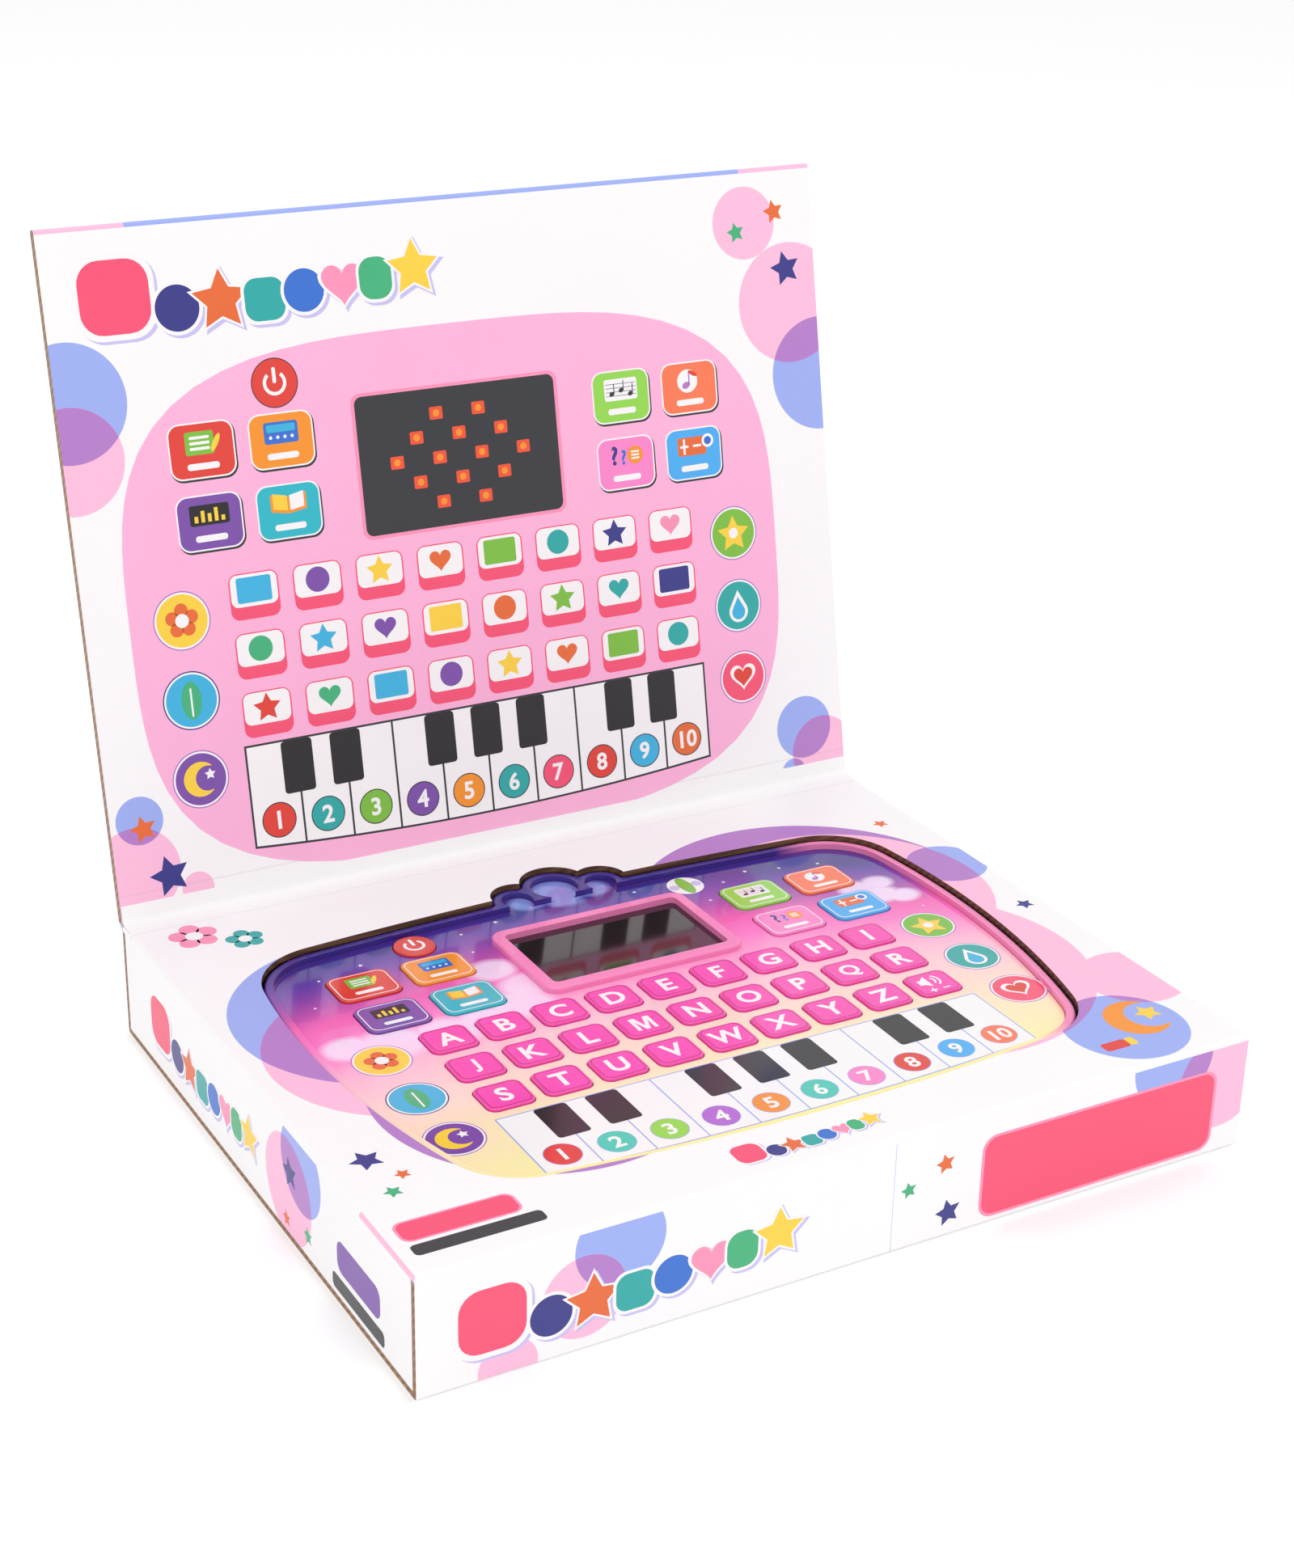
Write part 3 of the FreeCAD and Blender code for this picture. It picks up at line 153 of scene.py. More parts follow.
# Keys and printed keys of the face: places from the face's centre, hues and motifs
LETTER_ROWS = ("abcdefghi", "jklmnopqr", "stuvwxyz")
MODES = {
    "button_letters": (-84.9, 52.1, "red", "pad"),
    "button_words": (-59.2, 52.1, "amber", "card"),
    "button_spell": (-84.9, 30.3, "plum", "display"),
    "button_read": (-59.2, 30.3, "turquoise", "book"),
    "button_song": (59.2, 52.1, "grass", "staff"),
    "button_music": (84.9, 52.1, "coral", "note"),
    "button_quiz": (59.2, 30.3, "candy", "question"),
    "button_sums": (84.9, 30.3, "azure", "sums"),
}
POWER = (-59.5, 69.5)
ROUND_PICTURES = (
    (-99.0, 7.0, "yellow", "flower"), (-99.0, -18.0, "sky", "leaf"), (-99.0, -43.0, "plum", "moon"),
    (99.0, 7.0, "lime", "star"), (99.0, -18.0, "teal", "drop"), (99.0, -43.0, "magenta", "heart"),
)
PIANO_PITCH = 16.8
PIANO_HALF = 5 * PIANO_PITCH
PIANO_TOP = -39.4
BLACK_KEYS = (1, 2, 4, 5, 6, 8, 9)
BOARD_DISCS = ("red", "teal", "lime", "plum", "amber", "teal", "magenta", "red", "sky", "orange")
FILM_DISCS = ("red", "mint", "grass", "orchid", "amber", "mint", "candy", "red", "azure", "coral")
TILE_HUES = ("sky", "lime", "amber", "plum", "teal", "red", "yellow", "navy", "green", "orange", "blush")

# The letter M, one unit high, drawn here because the widened outline of the font fills badly
LETTER_M = (
    (-0.46, -0.5), (-0.29, -0.5), (-0.29, 0.2), (-0.09, -0.5), (0.09, -0.5), (0.29, 0.2), (0.29, -0.5),
    (0.46, -0.5), (0.46, 0.5), (0.2, 0.5), (0.0, -0.2), (-0.2, 0.5), (-0.46, 0.5),
)

# Section of a flute across the board's edge and out of it
FLUTE_STEPS = 8
FLUTE_RISE = 0.62
FLUTE_SECTION = ((-0.14, -0.02), (0.14, -0.02), (0.14, 0.06), (-0.14, 0.06))

# Points of the lid's creases: back and up from the carton's upper rear edge, up and off from the lid's foot
CREASE_PANEL = ((-6.0, 0.02), (-1.2, 0.04))
CREASE_WALL = ((0.9, -2.2), (0.04, -5.0), (0.02, -11.0))
CREASE_FRONT = ((0.7, 0.35), (2.0, 0.06), (6.0, 0.02))
CREASE_REAR = ((8.0, 0.02), (2.0, 0.05), (-0.4, 0.1))

# Camera: place and axes, in metres; lights: place, size and share of the main light's power
CAMERA_PLACE = (-0.37658267, -0.63759076, 0.43003542)
CAMERA_RIGHT = (0.87111506, -0.49061498, 0.0213422)
CAMERA_UP = (0.1799042, 0.35926536, 0.9157308)
CAMERA_BACK = (-0.45693876, -0.79386733, 0.40122516)
LIGHTS = {
    "key_light": ((-0.9, -1.1, 1.6), 1.2, 1.0),
    "fill_light": ((1.4, -0.9, 1.2), 1.4, 0.4),
    "rear_light": ((0.2, 1.2, 1.7), 1.4, 0.35),
    "top_light": ((0.1, 0.0, 1.9), 1.4, 0.6),
}
FLOOR_SIZE = 16.0
FLOOR_LEVEL = -0.0004


def linear(code):
    """Linear colour of a hexadecimal one."""
    parts = [int(code[i : i + 2], 16) / 255 for i in (0, 2, 4)]
    return tuple(c / 12.92 if c <= 0.04045 else ((c + 0.055) / 1.055) ** 2.4 for c in parts) + (1.0,)


def tint(name):
    """Linear colour of a named hue."""
    return linear(HUES[name])


def dimmed(colour, share):
    """A darker colour, opaque."""
    return tuple(c * share for c in colour[:3]) + (1.0,)


class Wire:
    """A shader socket that takes arithmetic, and makes other nodes in its tree."""

    def __init__(self, tree, socket=None):
        self.tree = tree
        self.socket = socket

    def node(self, kind, inputs=(), output=0, **settings):
        """A node of any kind: settings first, then its sockets' values or links; returns one output."""
        made = self.tree.nodes.new(kind)
        for name, setting in settings.items():
            setattr(made, name, setting)
        for key, given in dict(inputs).items():
            if isinstance(given, Wire):
                self.tree.links.new(given.socket, made.inputs[key])
            else:
                made.inputs[key].default_value = given
        return Wire(self.tree, made.outputs[output])

    def maths(self, operation, *others):
        """Arithmetic with this value as the first term."""
        return self.node("ShaderNodeMath", enumerate((self, *others)), operation=operation)

    __add__ = __radd__ = partialmethod(maths, "ADD")
    __sub__ = partialmethod(maths, "SUBTRACT")
    __mul__ = __rmul__ = partialmethod(maths, "MULTIPLY")
    __truediv__ = partialmethod(maths, "DIVIDE")
    __gt__ = partialmethod(maths, "GREATER_THAN")
    __lt__ = partialmethod(maths, "LESS_THAN")
    __abs__ = partialmethod(maths, "ABSOLUTE")
    larger = partialmethod(maths, "MAXIMUM")

    def __rsub__(self, other):
        return self.node("ShaderNodeMath", {0: other, 1: self}, operation="SUBTRACT")

    def held(self):
        """The value kept between 0 and 1."""
        return self.maths("MINIMUM", 1.0).larger(0.0)

    def mix(self, share, first, second):
        """Second colour over the first, by a share."""
        ends = {0: share, 6: first, 7: second}
        return self.node("ShaderNodeMix", ends, 2, data_type="RGBA", clamp_factor=True)

    def noise(self, place, scale, detail):
        return self.node("ShaderNodeTexNoise", {"Vector": place, "Scale": scale, "Detail": detail}, "Fac")

    def bump(self, height, strength, distance):
        inputs = {"Height": height, "Strength": strength, "Distance": distance}
        return self.node("ShaderNodeBump", inputs)

    def axes(self, vector):
        """The three parts of a vector."""
        split = self.node("ShaderNodeSeparateXYZ", {0: vector}).socket.node
        return [Wire(self.tree, split.outputs[i]) for i in range(3)]

    def place(self):
        """The point on the piece as a vector, and its three parts in millimetres."""
        vector = self.node("ShaderNodeTexCoord", output="Object")
        return vector, [part * PER_METRE for part in self.axes(vector)]


def surface(name, **fixed):
    """A new material and its wire, with constants on its main shader's sockets."""
    material = bpy.data.materials.new(name)
    material.use_nodes = True
    for key, given in fixed.items():
        main_input(material, key).default_value = given
    return material, Wire(material.node_tree)


def main_input(material, key):
    """A socket of the main shader, by its name with underscores."""
    return material.node_tree.nodes["Principled BSDF"].inputs[key.replace("_", " ")]


def feed(material, **links):
    """Links what varies over the surface to the main shader; returns the finished material."""
    for key, given in links.items():
        material.node_tree.links.new(given.socket, main_input(material, key))
    return material


def moulded(name, hue, rough=0.25, coat=0.3, grain=0.05, scale=90.0, bump=0.06, metal=0.0):
    """Plastic, rubber or metal with faint flow marks, scuffed roughness and a fine skin."""
    material, wire = surface(name, Metallic=metal, Coat_Weight=coat, Coat_Roughness=0.08)
    vector = wire.node("ShaderNodeTexCoord", output="Object")
    cloudy = wire.noise(vector, scale, 3.0)
    fine = wire.noise(vector, scale * 22, 2.0)
    return feed(
        material,
        Base_Color=wire.mix(cloudy, dimmed(hue, 1 - 2 * grain), hue),
        Roughness=rough * 0.8 + cloudy * (rough * 0.4),
        Normal=wire.bump(fine, bump, 0.0002),
    )


FILM_INK = {"rough": 0.16, "coat": 0.35, "grain": 0.02, "scale": 140.0, "bump": 0.02}
BOARD_INK = {"rough": 0.42, "coat": 0.12, "grain": 0.03, "scale": 60.0, "bump": 0.1}
INKS = {}


def ink_of(colour, glossy):
    """Printed ink: on the film it is smooth and glossy, on board it follows the paper."""
    key = ("film_" if glossy else "board_") + colour
    if key not in INKS:
        INKS[key] = moulded("ink_" + key, tint(colour), **(FILM_INK if glossy else BOARD_INK))
    return INKS[key]


def arc(first, last, points):
    """Angles from first to last, in half turns."""
    return [pi * (first + (last - first) * i / (points - 1)) for i in range(points)]


def around(x, y, radius, angles):
    """Points on a circle at the given angles."""
    return [(x + radius * cos(t), y + radius * sin(t)) for t in angles]


def band(x, y, radius, width, first, last, points):
    """Piece of a ring between two angles, in half turns."""
    outer = around(x, y, radius + width / 2, arc(first, last, points))
    return outer + around(x, y, radius - width / 2, arc(last, first, points))


def disc(x, y, radius, points=40):
    return around(x, y, radius, [tau * i / points for i in range(points)])


def petals(x, y, reach, radius, points):
    """Five discs round a point."""
    return [disc(*spot, radius, points) for spot in around(x, y, reach, arc(0.1, 1.7, 5))]


def oval(x, y, across, up, turn=0.0, points=32):
    ring = [(across * a, up * b) for a, b in disc(0, 0, 1, points)]
    c, s = cos(turn), sin(turn)
    return [(x + c * a - s * b, y + s * a + c * b) for a, b in ring]


def tile(x, y, across, up, corner, points=6):
    """Rounded rectangle about its centre."""
    outline = []
    for quarter, (sx, sy) in enumerate(((1, 1), (-1, 1), (-1, -1), (1, -1))):
        centre = (x + sx * (across / 2 - corner), y + sy * (up / 2 - corner))
        outline += around(*centre, corner, [pi / 2 * (quarter + i / points) for i in range(points + 1)])
    return outline


def star(x, y, radius, turn=0.0, depth=0.5):
    outline = []
    for i in range(10):
        reach = radius * (depth if i % 2 else 1.0)
        outline += around(x, y, reach, [pi / 2 + turn + pi * i / 5])
    return outline


def heart(x, y, size, points=36):
    outline = []
    for i in range(points):
        t = tau * i / points
        up = 13 * cos(t) - 5 * cos(2 * t) - 2 * cos(3 * t) - cos(4 * t)
        outline.append((x - size * 16 * sin(t) ** 3 / 17, y + size * (up + 2) / 17))
    return outline


def crescent(x, y, radius):
    outer = around(x, y, radius, arc(0.25, 1.75, 24))
    return outer + around(x + 0.42 * radius, y, 0.72 * radius, arc(1.62, 0.38, 24))


def drop(x, y, size):
    return around(x, y - 0.25 * size, 0.62 * size, arc(-1.15, 0.15, 20)) + [(x, y + size)]


def leaf(x, y, size):
    return [(x + 0.55 * size * sin(t), y - size * cos(t)) for t in arc(0.0, 2.0, 27)[:-1]]


def bar(x, y, across, up):
    a, b = across / 2, up / 2
    return [(x + a, y + b), (x - a, y + b), (x - a, y - b), (x + a, y - b)]


def add_object(name, data):
    """A new object at the origin, in the scene."""
    made = bpy.data.objects.new(name, data)
    bpy.context.scene.collection.objects.link(made)
    return made


def new_piece(name, mesh, body):
    """A finished mesh as an object at the origin that rides on a body."""
    piece = add_object(name, mesh)
    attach(piece, body)
    return piece


def skin(shape, rings):
    """New faces of a shape through rings of points, closed at both ends."""
    rings = [[shape.verts.new(point) for point in ring] for ring in rings]
    faces = [shape.faces.new(rings[-1]), shape.faces.new(rings[0][::-1])]
    for first, second in zip(rings, rings[1:]):
        for i, corner in enumerate(first):
            j = (i + 1) % len(first)
            faces.append(shape.faces.new((corner, first[j], second[j], second[i])))
    return faces


def closed_mesh(name, shape):
    """The mesh of a closed shape, with its faces turned outwards."""
    bmesh.ops.recalc_face_normals(shape, faces=shape.faces)
    mesh = bpy.data.meshes.new(name)
    shape.to_mesh(mesh)
    shape.free()
    return mesh


def plain_mesh(source):
    """The evaluated mesh of an object, which is then removed."""
    view = bpy.context.evaluated_depsgraph_get()
    mesh = bpy.data.meshes.new_from_object(source.evaluated_get(view))
    data = source.data
    bpy.data.objects.remove(source)
    if isinstance(data, bpy.types.Curve):
        bpy.data.curves.remove(data)
    return mesh


GLYPHS = {}


def glyph(text):
    """A character as a closed mesh, one unit high, with its centre at the origin."""
    if text not in GLYPHS:
        curve = bpy.data.curves.new("character", "FONT")
        curve.body = text
        curve.extrude = 0.5
        curve.offset = 0.026
        curve.resolution_u = 5
        mesh = plain_mesh(add_object("character", curve))
        shape = bmesh.new()
        shape.from_mesh(mesh)
        bmesh.ops.remove_doubles(shape, verts=shape.verts, dist=1e-5)
        low = [min(v.co[i] for v in shape.verts) for i in range(2)]
        high = [max(v.co[i] for v in shape.verts) for i in range(2)]
        tall = max(high[1] - low[1], 0.45 * (high[0] - low[0]))
        for v in shape.verts:
            v.co.x = (v.co.x - (low[0] + high[0]) / 2) / tall
            v.co.y = (v.co.y - (low[1] + high[1]) / 2) / tall
        shape.to_mesh(mesh)
        shape.free()
        GLYPHS[text] = mesh
    return GLYPHS[text]


class Print:
    """Flat ink on one face: outlines in millimetres become one mesh of thin closed prisms."""

    def __init__(self, name, body, origin, across, up, glossy=False, slot="printed_board"):
        self.name = name
        self.body = body
        self.glossy = glossy
        self.slot = slot
        out = Vector(across).cross(Vector(up))
        turn = Matrix((across, up, out)).transposed().to_4x4()
        self.frame = Matrix.Translation(Vector(origin) * MM) @ turn
        self.shape = bmesh.new()
        self.colours = []
        self.at(0, 0)

    def at(self, x, y, size=1.0, base=0):
        """Later outlines are drawn about this point, at this size, over this layer."""
        self.place = Matrix.Translation((x, y, 0.0)) @ Matrix.Scale(size, 4)
        self.base = base
        return self

    def index(self, colour):
        if colour not in self.colours:
            self.colours.append(colour)
        return self.colours.index(colour)

    def point(self, x, y, height):
        """A point of the face, at a height over it."""
        flat = self.place @ Vector((x, y, 0.0))
        return self.frame @ (Vector((flat.x, flat.y, height)) * MM)

    def ink(self, colour, layer, *outlines):
        """Fills outlines with a colour; a higher layer lies over a lower one."""
        index = self.index(colour)
        heights = (SUNK, (self.base + layer) * LAYER)
        for outline in outlines:
            for face in skin(self.shape, [[self.point(x, y, high) for x, y in outline] for high in heights]):
                face.material_index = index

    def letter(self, colour, layer, text, x, y, height):
        """One character about a point."""
        index = self.index(colour)
        top = (self.base + layer) * LAYER
        verts, faces = self.shape.verts, self.shape.faces
        old_verts, old_faces = len(verts), len(faces)
        self.shape.from_mesh(glyph(text))
        verts.ensure_lookup_table()
        faces.ensure_lookup_table()
        for v in verts[old_verts:]:
            v.co = self.point(x + v.co.x * height, y + v.co.y * height, top if v.co.z > 0 else SUNK)
        for face in faces[old_faces:]:
            face.material_index = index

    def stars(self, layer, spots, turn=0.2):
        for x, y, radius, colour in spots:
            self.ink(colour, layer, star(x, y, radius, turn))

    def make(self):
        """The finished print, riding on its body."""
        mesh = closed_mesh(self.name, self.shape)
        for colour in self.colours:
            mesh.materials.append(ink_of(colour, self.glossy))
        return new_piece(self.name, mesh, self.body)


# Signs of the mode buttons, 21 by 16.8: for each ink its colour, layer and outlines
DISPLAY_BARS = ((-4.4, 2.0), (-2.2, 3.6), (0.0, 2.6), (2.2, 4.2), (4.4, 1.6))
STAFF_NOTES = ((-3.4, 1.0), (0.2, 2.0), (3.6, 0.6))
MODE_ICONS = {
    "pad": (
        ("lime", 3, tile(-0.6, 2.3, 9.4, 7.2, 0.8)),
        ("white", 4, *[tile(-0.6, y, 6.6, 0.9, 0.4) for y in (4.0, 2.3, 0.6)]),
        ("yellow", 5, oval(4.6, 2.0, 0.9, 3.0, -0.5)),
    ),
    "card": (
        ("blue", 3, tile(0, 2.4, 11.4, 6.8, 0.9)),
        ("sky", 4, tile(0, 3.8, 9.6, 2.4, 0.5)),
        ("white", 4, *[disc(x, 1.0, 0.55, 12) for x in (-3.6, -1.2, 1.2, 3.6)]),
    ),
    "display": (
        ("black", 3, tile(0, 2.4, 13.0, 6.4, 0.8)),
        ("yellow", 4, *[bar(x, 0.2 + tall / 2, 1.2, tall) for x, tall in DISPLAY_BARS]),
    ),
    "book": (
        ("amber", 3, [(0, -0.8), (6.0, 0.2), (6.0, 5.6), (0, 4.4)]),
        ("amber", 3, [(0, -0.8), (0, 4.4), (-6.0, 5.6), (-6.0, 0.2)]),
        ("white", 4, [(0.4, 0.2), (5.2, 1.0), (5.2, 5.9), (0.4, 4.9)]),
        ("yellow", 4, [(-0.4, 0.2), (-0.4, 4.9), (-5.2, 5.9), (-5.2, 1.0)]),
    ),
    "staff": (
        ("white", 3, tile(0, 2.3, 12.4, 7.2, 0.8)),
        ("grey", 4, *[bar(0, y, 11.4, 0.25) for y in (0.3, 1.6, 2.9, 4.2)]),
        ("charcoal", 5, *[oval(x, y, 1.0, 0.75, 0.4, 16) for x, y in STAFF_NOTES]),
        ("charcoal", 5, *[bar(x + 0.85, y + 1.7, 0.3, 3.2) for x, y in STAFF_NOTES]),
    ),
    "note": (
        ("white", 3, disc(-0.6, 2.2, 3.9)),
        ("violet", 4, oval(-1.2, 0.8, 1.5, 1.1, 0.4, 18), bar(0.1, 3.0, 0.5, 4.4)),
        ("red", 4, oval(1.6, 4.6, 1.9, 0.7, -0.5, 18)),
    ),
    "question": (
        ("amber", 3, disc(3.6, 2.4, 3.0)),
        ("white", 4, *[bar(3.6, y, 3.0, 0.6) for y in (1.3, 2.4, 3.5)]),
    ),
    "sums": (
        ("orange", 3, tile(-0.6, 2.5, 11.0, 6.2, 0.8)),
        ("white", 4, bar(-3.6, 2.5, 3.2, 0.8), bar(-3.6, 4.0, 0.8, 2.2), bar(-3.6, 1.0, 0.8, 2.2)),
        ("white", 4, bar(1.4, 2.5, 3.2, 0.8), disc(5.6, 3.8, 2.3, 24)),
        ("blue", 5, disc(5.6, 3.8, 1.4, 20)),
    ),
}
# Plain motifs of the round pictures: colour and outlines of the lower and the upper ink
ROUND_MOTIFS = {
    "flower": (("orange", petals(0, 0, 3.3, 2.2, 20)), ("white", [disc(0, 0, 2.2, 24)])),
    "leaf": (("green", [leaf(0, 0, 6.0)]), ("white", [bar(0, -0.6, 0.6, 9.0)])),
    "moon": (("yellow", [crescent(0, 0, 5.6)]), ("white", [star(3.2, 1.2, 1.9)])),
    "star": (("yellow", [star(0, -0.3, 6.4)]), ("white", [disc(0, 0, 1.8, 20)])),
    "drop": (("white", [drop(0, -0.6, 6.0)]), ("sky", [drop(0, -1.2, 4.2)])),
    "heart": (("white", [heart(0, 0, 5.4)]), ("red", [heart(0, 0, 4.0)])),
}


def mode_icon(sheet, motif):
    """A small sign on a mode button, on layers 3 to 5, with a plain strip below it."""
    sheet.ink("white", 3, tile(0, -4.9, 10.5, 2.0, 0.9))
    if motif == "question":
        sheet.letter("navy", 3, "?", -4.2, 2.8, 6.4)
        sheet.letter("blue", 3, "?", -0.8, 2.0, 5.0)
    for colour, layer, *outlines in MODE_ICONS[motif]:
        sheet.ink(colour, layer, *outlines)


def round_picture(sheet, hue, motif):
    """A round picture of radius 9.3, on layers 0 to 4, with a rim and one plain motif."""
    sheet.ink("navy" if hue == "sky" else "violet", 0, disc(0, 0, 9.3))
    sheet.ink("white", 1, disc(0, 0, 8.9))
    sheet.ink(hue, 2, disc(0, 0, 8.3))
    for layer, (colour, outlines) in enumerate(ROUND_MOTIFS[motif], 3):
        sheet.ink(colour, layer, *outlines)


def sag(x, height, depth):
    """Height of a line across the piano that hangs by a depth in the middle."""
    share = x / PIANO_HALF
    return height - depth * (1.0 - share * share)


def piano(sheet, outline, hues, stroke):
    """Printed piano of ten keys, on layers 0 to 4, with a curved lower edge and numbered discs."""
    foot, hang = -71.7, 3.7
    lower = [(x, sag(x, foot, hang)) for x in (PIANO_HALF * (1 - i / 12) for i in range(25))]
    body = [(PIANO_HALF, PIANO_TOP), (-PIANO_HALF, PIANO_TOP)] + lower[::-1]
    widen = 1 + stroke / PIANO_HALF
    sheet.ink(outline, 0, [(x * widen, y + (stroke if y == PIANO_TOP else -stroke)) for x, y in body])
    sheet.ink("white", 1, body)
    for i in range(1, 10):
        x = i * PIANO_PITCH - PIANO_HALF
        depth = sag(x, foot, hang)
        sheet.ink(outline, 2, bar(x, (PIANO_TOP + depth) / 2, stroke, PIANO_TOP - depth))
    for i in BLACK_KEYS:
        sheet.ink("black", 3, tile(i * PIANO_PITCH - PIANO_HALF, PIANO_TOP - 8.6, 10.6, 17.2, 1.2))
    for i, hue in enumerate(hues):
        x = (i + 0.5) * PIANO_PITCH - PIANO_HALF
        y = sag(x, -63.8, 3.4)
        sheet.ink(outline, 2.5, disc(x, y, 5.5 + stroke * 0.5))
        sheet.ink(hue, 3, disc(x, y, 5.5))
        text = str(i + 1)
        for k, digit in enumerate(text):
            shift = (k - (len(text) - 1) / 2) * 4.0
            sheet.letter("white", 4, digit, x + shift, y, 6.0)


def power_sign(sheet, layer):
    """Ring with a stroke, on a button of radius 6.9."""
    sheet.ink("white", layer, band(0, 0, 3.1, 1.0, 0.72, 2.28, 28), tile(0, 2.2, 1.1, 4.6, 0.5))


def shape_row(sheet):
    """A row of plain play shapes, 100 wide, each over a white halo and a pale shade."""
    forms = (
        ("magenta", tile(-43, 2, 22, 22, 7)),
        ("navy", disc(-24, -3, 7)),
        ("orange", star(-10, -2, 9.5)),
        ("teal", tile(4, -3, 13, 13, 4)),
        ("blue", disc(17, -1.5, 6.6)),
        ("blush", heart(30, -1, 7.5)),
        ("green", tile(41, 0, 11, 13, 4.5)),
        ("yellow", star(54, 2, 9)),
    )
    grow, drift = 1.16, 0.9
    for layer, (colour, form) in enumerate(forms, 2):
        cx = sum(p[0] for p in form) / len(form)
        cy = sum(p[1] for p in form) / len(form)
        halo = [(cx + (x - cx) * grow, cy + (y - cy) * grow) for x, y in form]
        sheet.ink("lilac", layer, [(x + drift, y - drift) for x, y in halo])
        sheet.ink("white", layer + 0.35, halo)
        sheet.ink(colour, layer + 0.7, form)


def tinted(wire, across, up, circles, colour, ground):
    """Overlapping tinted circles on a ground; where two tints cross, the print turns violet."""
    masks = []
    for x, y, radius, hue in circles:
        dx, dy = across - x, up - y
        reach = (dx * dx + dy * dy).maths("SQRT")
        mask = ((radius - reach) * 8.0 + 0.5).held() * ground
        colour = wire.mix(mask, colour, tint(hue))
        masks.append((mask, hue))
    for i, (first, hue) in enumerate(masks):
        for second, other in masks[i + 1 :]:
            if {hue, other} == {"pink", "periwinkle"}:
                colour = wire.mix(first * second, colour, tint("violet"))
    return colour


def board(name, faces, raw, stripe=None, score=None):
    """Printed board: tinted circles on its faces, brown where it is cut, a scored line by the crease. Painted
    shade: the window's cut walls are darkened towards near black, umber stripes on raw edges stand for the shaded
    flute hollows, the scored line is greyed, and the board is a little darker where its dents lie low.
    """
    material, wire = surface(name, Coat_Weight=0.12, Coat_Roughness=0.25)
    vector, (x, y, z) = wire.place()
    nx, ny, nz = wire.axes(wire.node("ShaderNodeTexCoord", output="Normal"))
    lean = (y - LID_FOOT.y) * LID_UP.y + (z - LID_FOOT.z) * LID_UP.z
    upright = ny * LID_UP.y + nz * LID_UP.z
    grain = wire.noise(vector, 900.0, 3.0)
    dents = wire.noise(vector, 26.0, 2.0)
    # painted shade: the board is up to 3.5 % darker where the dents lie low
    colour = wire.mix(dents, dimmed(tint("white"), 0.965), tint("white"))
    facing = 0.6
    spans = {
        "top": (x, y, nz > facing),
        "front": (x, z, (ny < -facing) * (y < 0.0)),
        "left": (-1.0 * y, z, (nx < -facing) * (x < 0.0)),
        "right": (y, z, (nx > facing) * (x > 0.0)),
        "inner": (x, lean, ny < -facing),
    }
    for face, circles in faces.items():
        across, up, ground = spans[face]
        colour = tinted(wire, across, up, circles, colour, ground)
    if stripe:
        centre = ((stripe - abs(x)) * 4.0).held()
        wrapped = (upright > facing).larger((ny > facing).larger(lean > LID_LENGTH - 1.5))
        colour = wire.mix(wrapped, colour, wire.mix(centre, tint("pink"), tint("periwinkle")))
    # painted shade: umber stripes between kraft ones stand for the shaded hollows of the flutes
    flute = ((y + z) * 1.9).maths("SINE") * 0.5 + 0.5
    brown = wire.mix(flute * 0.75 + grain * 0.25, tint("umber"), tint("kraft"))
    inset = 0.8
    edges = {
        "ends": abs(nx) > 0.7,
        "cut": (abs(nz) < 0.4) * (abs(x) < HALF_WIDTH - inset) * (abs(y) < HALF_DEPTH - inset),
        "under": nz < -facing,
    }
    for edge in raw:
        # painted shade: the window's cut walls are mixed towards near black, for the shade under the panel's edge
        shown = wire.mix(0.55, brown, tint("cut_edge_shade")) if edge == "cut" else brown
        colour = wire.mix(edges[edge], colour, shown)
    height = grain * 0.35 + dents
    if score:
        run = lean if stripe else y
        line = (1.0 - abs(run - score + (dents - 0.5) * 0.5) * 2.2).held()
        # painted shade: the board is greyed along the scored groove
        colour = wire.mix(line * 0.22, colour, tint("score"))
        height = height - line * 1.4
    rough = 0.38 + grain * 0.16
    return feed(material, Base_Color=colour, Roughness=rough, Normal=wire.bump(height, 0.14, 0.0012))


def dress(material, *nodes):
    """Gives nodes of the model a finish."""
    for name in nodes:
        slots = frame["nodes"][name].data.materials
        slots.clear()
        slots.append(material)


def dusk(wire, x, y, soft):
    """The face's print: indigo at the rear through pink to yellow at the front, deeper at the right side."""
    side = x / COMPUTER_HALF_WIDTH
    depth = (y + COMPUTER_HALF_DEPTH) / (2 * COMPUTER_HALF_DEPTH)
    share = depth + side * side * 0.11 + side * 0.03 + (soft - 0.5) * 0.05
    ramp = wire.node("ShaderNodeValToRGB", {0: share})
    stops = ramp.socket.node.color_ramp.elements
    stops[0].color = linear(DUSK_FRONT)
    stops[1].color = linear(DUSK_REAR)
    for position, code in DUSK:
        stops.new(position).color = linear(code)
    return ramp


def puffs(x, y, spots):
    """Soft-edged clouds of overlapping round puffs."""
    cloud = None
    for cx, cy, radius in spots:
        dx, dy = x - cx, y - cy
        reach = (dx * dx + dy * dy * 1.5).maths("SQRT")
        mask = ((radius - reach) / (radius * 0.38)).held()
        cloud = cloud.larger(mask) if cloud else mask
    return cloud


def film_finish():
    """Glossy face film with pale clouds at the mode buttons and pale puffs in the lobes."""
    material, wire = surface("face_film", Coat_Weight=0.5, Coat_Roughness=0.04, Roughness=0.14)
    vector, (x, y, _) = wire.place()
    y = y - COMPUTER_Y
    soft = wire.noise(vector, 34.0, 2.0)
    colour = dusk(wire, x, y, soft)
    colour = wire.mix(puffs(x, y, CLOUDS) * (soft * 0.4 + 0.62), colour, tint("cloud"))
    colour = wire.mix(puffs(x, y, LOBE_PUFFS) * 0.8, colour, tint("haze"))
    return feed(material, Base_Color=colour)


